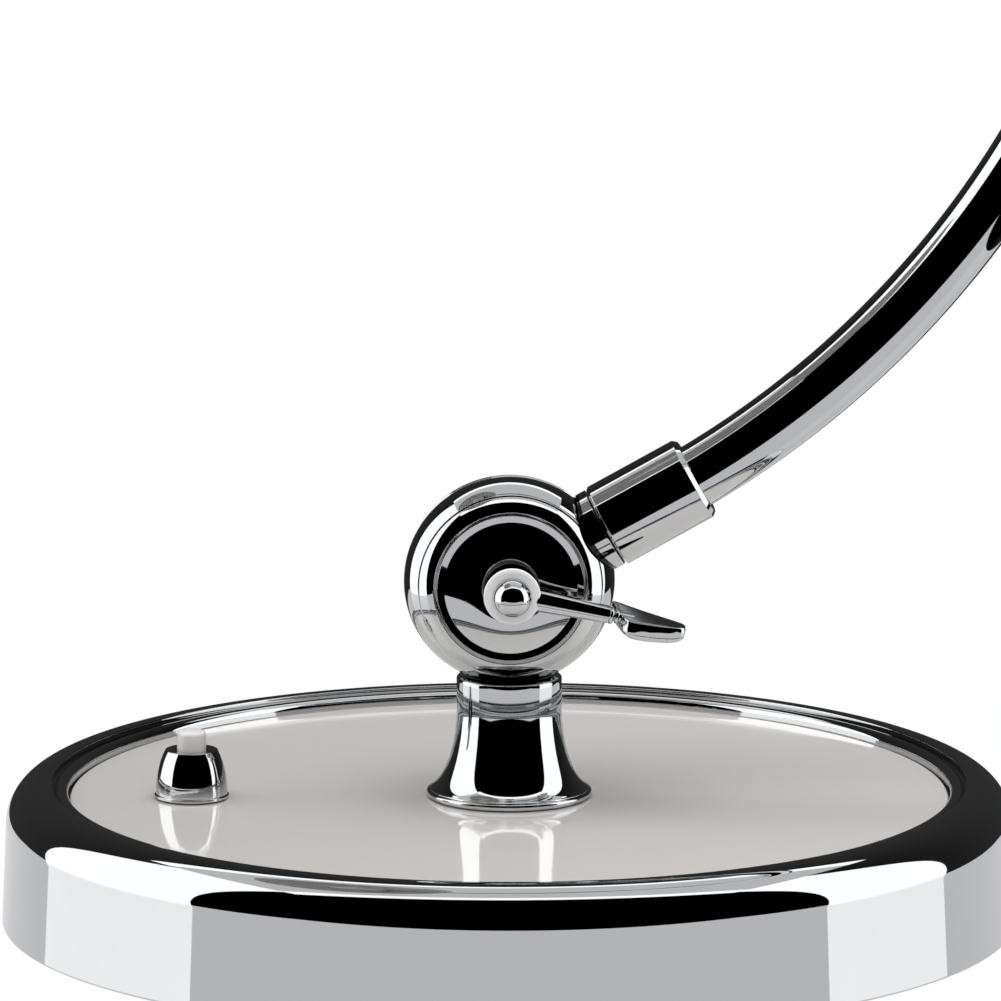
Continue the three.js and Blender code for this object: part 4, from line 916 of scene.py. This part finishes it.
def coil_spring(name, foot, top, coil, wire, turns, body, replaced):
    """Round wire along a helix: x = R cos a, y = R sin a, and the height grows with a from foot to top. The
    wire's section lies between the coil's radius and the cross product of the path's direction with it."""
    a = np.linspace(0, 2 * np.pi * turns, 36 * turns + 1)
    radial = np.stack([np.cos(a), np.sin(a), 0 * a], axis=1)
    climb = (top[2] - foot[2] - 2 * wire) / a[-1]
    rise = np.stack([0 * a, 0 * a, foot[2] + wire + climb * a], axis=1)
    path = (foot + top) / 2 * (1, 1, 0) + coil * radial + rise
    along = np.stack([-coil * np.sin(a), coil * np.cos(a), 0 * a + climb], axis=1)
    along /= np.linalg.norm(along, axis=1, keepdims=True)
    side = np.cross(along, radial)
    around = np.linspace(0, 2 * np.pi, 14, endpoint=False)[None, :, None]
    grid = path[:, None] + wire * (np.cos(around) * radial[:, None] + np.sin(around) * side[:, None])
    points = np.vstack([grid.reshape(-1, 3), path[0], path[-1]])
    faces = swept_faces(*grid.shape[:2])
    return put_in_scene(name, points, faces, [zinc], body, replaced)


COIL_RADIUS = 2.15
WIRE_RADIUS = 0.35
COIL_TURNS = 4
spring_foot, spring_top = (np.array(corner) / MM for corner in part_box("switch_spring"))
spring = coil_spring("return_spring", spring_foot, spring_top, COIL_RADIUS, WIRE_RADIUS, COIL_TURNS, "base",
                     ["switch_spring"])
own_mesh(spring)
button_foot = button_low[2] - STEM_SEAT
button_top = button_high[2] - STEM_SEAT
turned_piece("push_button", [
    (0, button_foot, 0), (BUTTON_RADIUS, button_foot, 0.2), (BUTTON_RADIUS, button_top - 1.1, 0),
    *arc_corners(BUTTON_RADIUS - 0.75, button_top - 0.95, 0.75, 4, 74, 12),
    (BUTTON_RADIUS * 0.45, button_top - 0.06, 0), (0, button_top, 0),
], "button", ["switch_button"], sides=96, place=switch_place, material=button_white)


# ---------------------------------------------------------------------------------------------------------
# Head: a chromed neck on the upper joint, a spun cap over the lampholder, a plain dome shade enamelled white
# inside, and an opal bulb in a black moulded holder.
# ---------------------------------------------------------------------------------------------------------
white_enamel = surface("white_shade_enamel", (0.80, 0.80, 0.78), 0.0, (0.2, 0.3), grain=500.0, bump=0.08,
                       spread=0.01)
black_moulding = surface("black_moulding", (0.018, 0.018, 0.018), 0.0, (0.25, 0.4), grain=1200.0, bump=0.15,
                         spread=0.1)
opal = surface("opal_glass", (0.88, 0.88, 0.85), 0.0, (0.12, 0.2), grain=300.0, spread=0.01, coat=0.3)
brass = surface("turned_brass", (0.62, 0.46, 0.19), 1.0, (0.22, 0.36), grain=1600.0, bump=0.15, spread=0.05)
head_place = frame_at(UPPER_CENTRE, (0, 0, 1))
NECK_TOP = -(UPPER["drum"] - 2)
CAP_TOP = NECK_TOP - 16.0
CAP_RADIUS = 19.0
CAP_WALL = 1.2
HEAD_NECK_BORE = 3.2
HEAD_NECK_FOOT = 9.6
HEAD_NECK_RADIUS = 7.4
SHADE_TOP = CAP_TOP - 22.0
SHADE_RADIUS = 72.0
SHADE_HEIGHT = 86.0
SHADE_WALL = 1.2
SHADE_OPENING = CAP_RADIUS - CAP_WALL - 4
CAP_INSIDE = CAP_RADIUS - CAP_WALL
CAP_RIM = SHADE_TOP + SHADE_WALL + FIT_GAP
saddled("head_neck_turning", [
    (HEAD_NECK_BORE, CAP_TOP + FIT_GAP, 0), (HEAD_NECK_FOOT, CAP_TOP + FIT_GAP, 0.3),
    (HEAD_NECK_FOOT, CAP_TOP + 2.0, 0.8), (HEAD_NECK_RADIUS, CAP_TOP + 4.0, 1.2),
    (HEAD_NECK_RADIUS, CAP_TOP + 9.0, 0),
], NECK_TOP, HEAD_NECK_BORE, 0.0, (UPPER["drum"] - UPPER["dome"], UPPER["dome"] + FIT_GAP), "head",
    ["head_neck"], head_place)
turned_piece("spun_cap", [
    (3.4, CAP_TOP, 0), (3.4, CAP_TOP - CAP_WALL, 0.1), (CAP_INSIDE, CAP_TOP - CAP_WALL, 4.8),
    (CAP_INSIDE, CAP_RIM, 0.2), (CAP_RADIUS, CAP_RIM, 0.3), (CAP_RADIUS, CAP_TOP, 6.0), (6, CAP_TOP, 0),
], "head", ["shade_cap"], sides=160, place=head_place, steps=16)


ROLL_RADIUS = 1.4
SHADE_SIDES = 192


def shade_corners():
    """Down the inner wall, round a rolled rim and up the outer wall: r = R sin a, and
    h = top - H (1 - cos a / cos a0), with a0 the angle at the cap. Returns the corners, and how many rows
    belong to the inner wall."""
    first = math.asin((CAP_RADIUS + 1.5) / SHADE_RADIUS)
    a = np.linspace(first, math.pi / 2, 60)
    drop = SHADE_HEIGHT * (1 - np.cos(a) / math.cos(first))
    outer = [(r, h, 0.0) for r, h in zip(SHADE_RADIUS * np.sin(a), SHADE_TOP + SHADE_WALL - drop)]
    inner = [(r, h, 0.0) for r, h in zip((SHADE_RADIUS - SHADE_WALL) * np.sin(a), SHADE_TOP - drop * 0.992)]
    rim = outer[-1][1]
    roll = arc_corners(SHADE_RADIUS, rim + ROLL_RADIUS, ROLL_RADIUS, -80, 80, 16)
    start = [(SHADE_OPENING, SHADE_TOP + SHADE_WALL, 0.0), (SHADE_OPENING, SHADE_TOP, 0.1)]
    inner_edge = [(SHADE_RADIUS - SHADE_WALL, rim, 0.2)]
    return start + inner[:-1] + inner_edge + roll + outer[::-1][2:], len(inner) + 4


shade_profile, inner_rows = shade_corners()
shade_points, shade_tangents = filleted(shade_profile)
grid, faces, normals = turned_arrays(shade_points, shade_tangents, SHADE_SIDES, head_place)
inner_faces = (inner_rows + 4) * SHADE_SIDES
put_in_scene("dome_shade", grid, faces, [chrome, white_enamel], "head", ["shade"], normals,
             (np.arange(len(faces)) < inner_faces).astype(int))

HOLDER_TOP = CAP_TOP - 1.5
HOLDER_LOW = HOLDER_TOP - 40.0
HOLDER_RADIUS = 12
HOLDER_BORE = 7.6
HOLDER_FLOOR = HOLDER_LOW + 21
turned_piece("bulb_holder", [
    (0, HOLDER_FLOOR, 0), (HOLDER_BORE, HOLDER_FLOOR, 0.3), (HOLDER_BORE, HOLDER_LOW, 0.4),
    (HOLDER_RADIUS - 0.8, HOLDER_LOW, 0.4), (HOLDER_RADIUS, HOLDER_LOW + 1, 0.3),
    (HOLDER_RADIUS, HOLDER_TOP - 4, 0.6), (HOLDER_RADIUS - 2, HOLDER_TOP, 0.6), (0, HOLDER_TOP, 0),
], "head", ["lampholder"], sides=96, place=head_place, material=black_moulding)
RING_TOP = SHADE_TOP - FIT_GAP
RING_FLANGE = RING_TOP - 1.8
RING_BORE = HOLDER_RADIUS + FIT_GAP
turned_piece("shade_fixing_ring", [
    (RING_BORE, RING_TOP, 0), (RING_BORE, RING_TOP - 6, 0.2), (14.1, RING_TOP - 6, 0.4),
    (14.1, RING_FLANGE, 0.3), (16.8, RING_FLANGE, 0.3), (16.8, RING_TOP, 0.3), (13, RING_TOP, 0),
], "head", ["shade_ring"], sides=96, place=head_place, material=black_moulding)
BULB_RADIUS = 22.5
BULB_NECK = 6.6
GLASS_WALL = 0.9
BULB_MIDDLE = HOLDER_LOW - BULB_RADIUS - 4
GLASS_TOP = BULB_MIDDLE + math.sqrt(BULB_RADIUS ** 2 - BULB_NECK ** 2) + 2.6
turned_piece("opal_bulb", [
    (0, BULB_MIDDLE - BULB_RADIUS, 0),
    *arc_corners(0, BULB_MIDDLE, BULB_RADIUS, -89, 58, 60),
    (BULB_NECK, GLASS_TOP - 1.6, 6.0), (BULB_NECK, GLASS_TOP, 0.2),
    (BULB_NECK - GLASS_WALL, GLASS_TOP, 0.2), (BULB_NECK - GLASS_WALL, GLASS_TOP - 1.8, 6.0),
    *arc_corners(0, BULB_MIDDLE, BULB_RADIUS - GLASS_WALL, 58, -89, 30),
    (0, BULB_MIDDLE - BULB_RADIUS + GLASS_WALL, 0),
], "head", ["bulb_glass"], sides=96, place=head_place, material=opal)
SCREW_LOW = HOLDER_LOW - 0.5
SCREW_CREST = 7.0
SCREW_ROOT = 6.5
PITCH = 2.8
thread = []
for turn in range(4):
    thread += [(SCREW_ROOT, SCREW_LOW + 3 + turn * PITCH, 0.4),
               (SCREW_CREST, SCREW_LOW + 3 + (turn + 0.5) * PITCH, 0.4)]
turned_piece("bulb_screw_cap", [
    (0, SCREW_LOW, 0), (SCREW_CREST, SCREW_LOW, 0.3), *thread, (6.2, SCREW_LOW + 16, 0.5),
    (2.6, SCREW_LOW + 18.2, 0.6), (0, SCREW_LOW + 19, 0),
], "head", ["bulb_cap"], sides=72, place=head_place, material=brass)


# ---------------------------------------------------------------------------------------------------------
# Inside and under the base: a cast iron ballast, a plated cover with three screws, a felt pad, the nipple's
# washer and nut, the terminal block, the rubber leads and the cable bush. They keep their plain machined
# shapes, and each gets the finish of its material here.
# ---------------------------------------------------------------------------------------------------------
iron = surface("cast_iron", (0.075, 0.075, 0.08), 0.4, (0.7, 0.9), grain=600.0, bump=0.8, bump_depth=0.0002,
               spread=0.2)
felt = surface("dark_felt", (0.035, 0.035, 0.033), 0.0, (0.9, 1.0), grain=1400.0, bump=0.9, bump_depth=0.0003,
               spread=0.3)
rubber = surface("lead_rubber", (0.03, 0.03, 0.03), 0.0, (0.5, 0.65), grain=1000.0, bump=0.2, spread=0.1)
NODE_FINISH = {
    "cast_iron": iron, "felt": felt, "lead_cover": rubber, "zinc_steel": zinc, "brass": brass,
    "black_plastic": black_moulding, "chrome": chrome, "enamel": enamel, "fibre": fibre,
    # The dark_nickel slot takes the collars' near-black painted shade.
    "dark_nickel": collar_root_painted_shade, "button_plastic": button_white, "bulb_glass": opal,
}
for subpart in frame["record"]["subparts"]:
    node = frame["nodes"][subpart["node"]]
    node.data.materials.clear()
    node.data.materials.append(NODE_FINISH[subpart["material_slot"]])
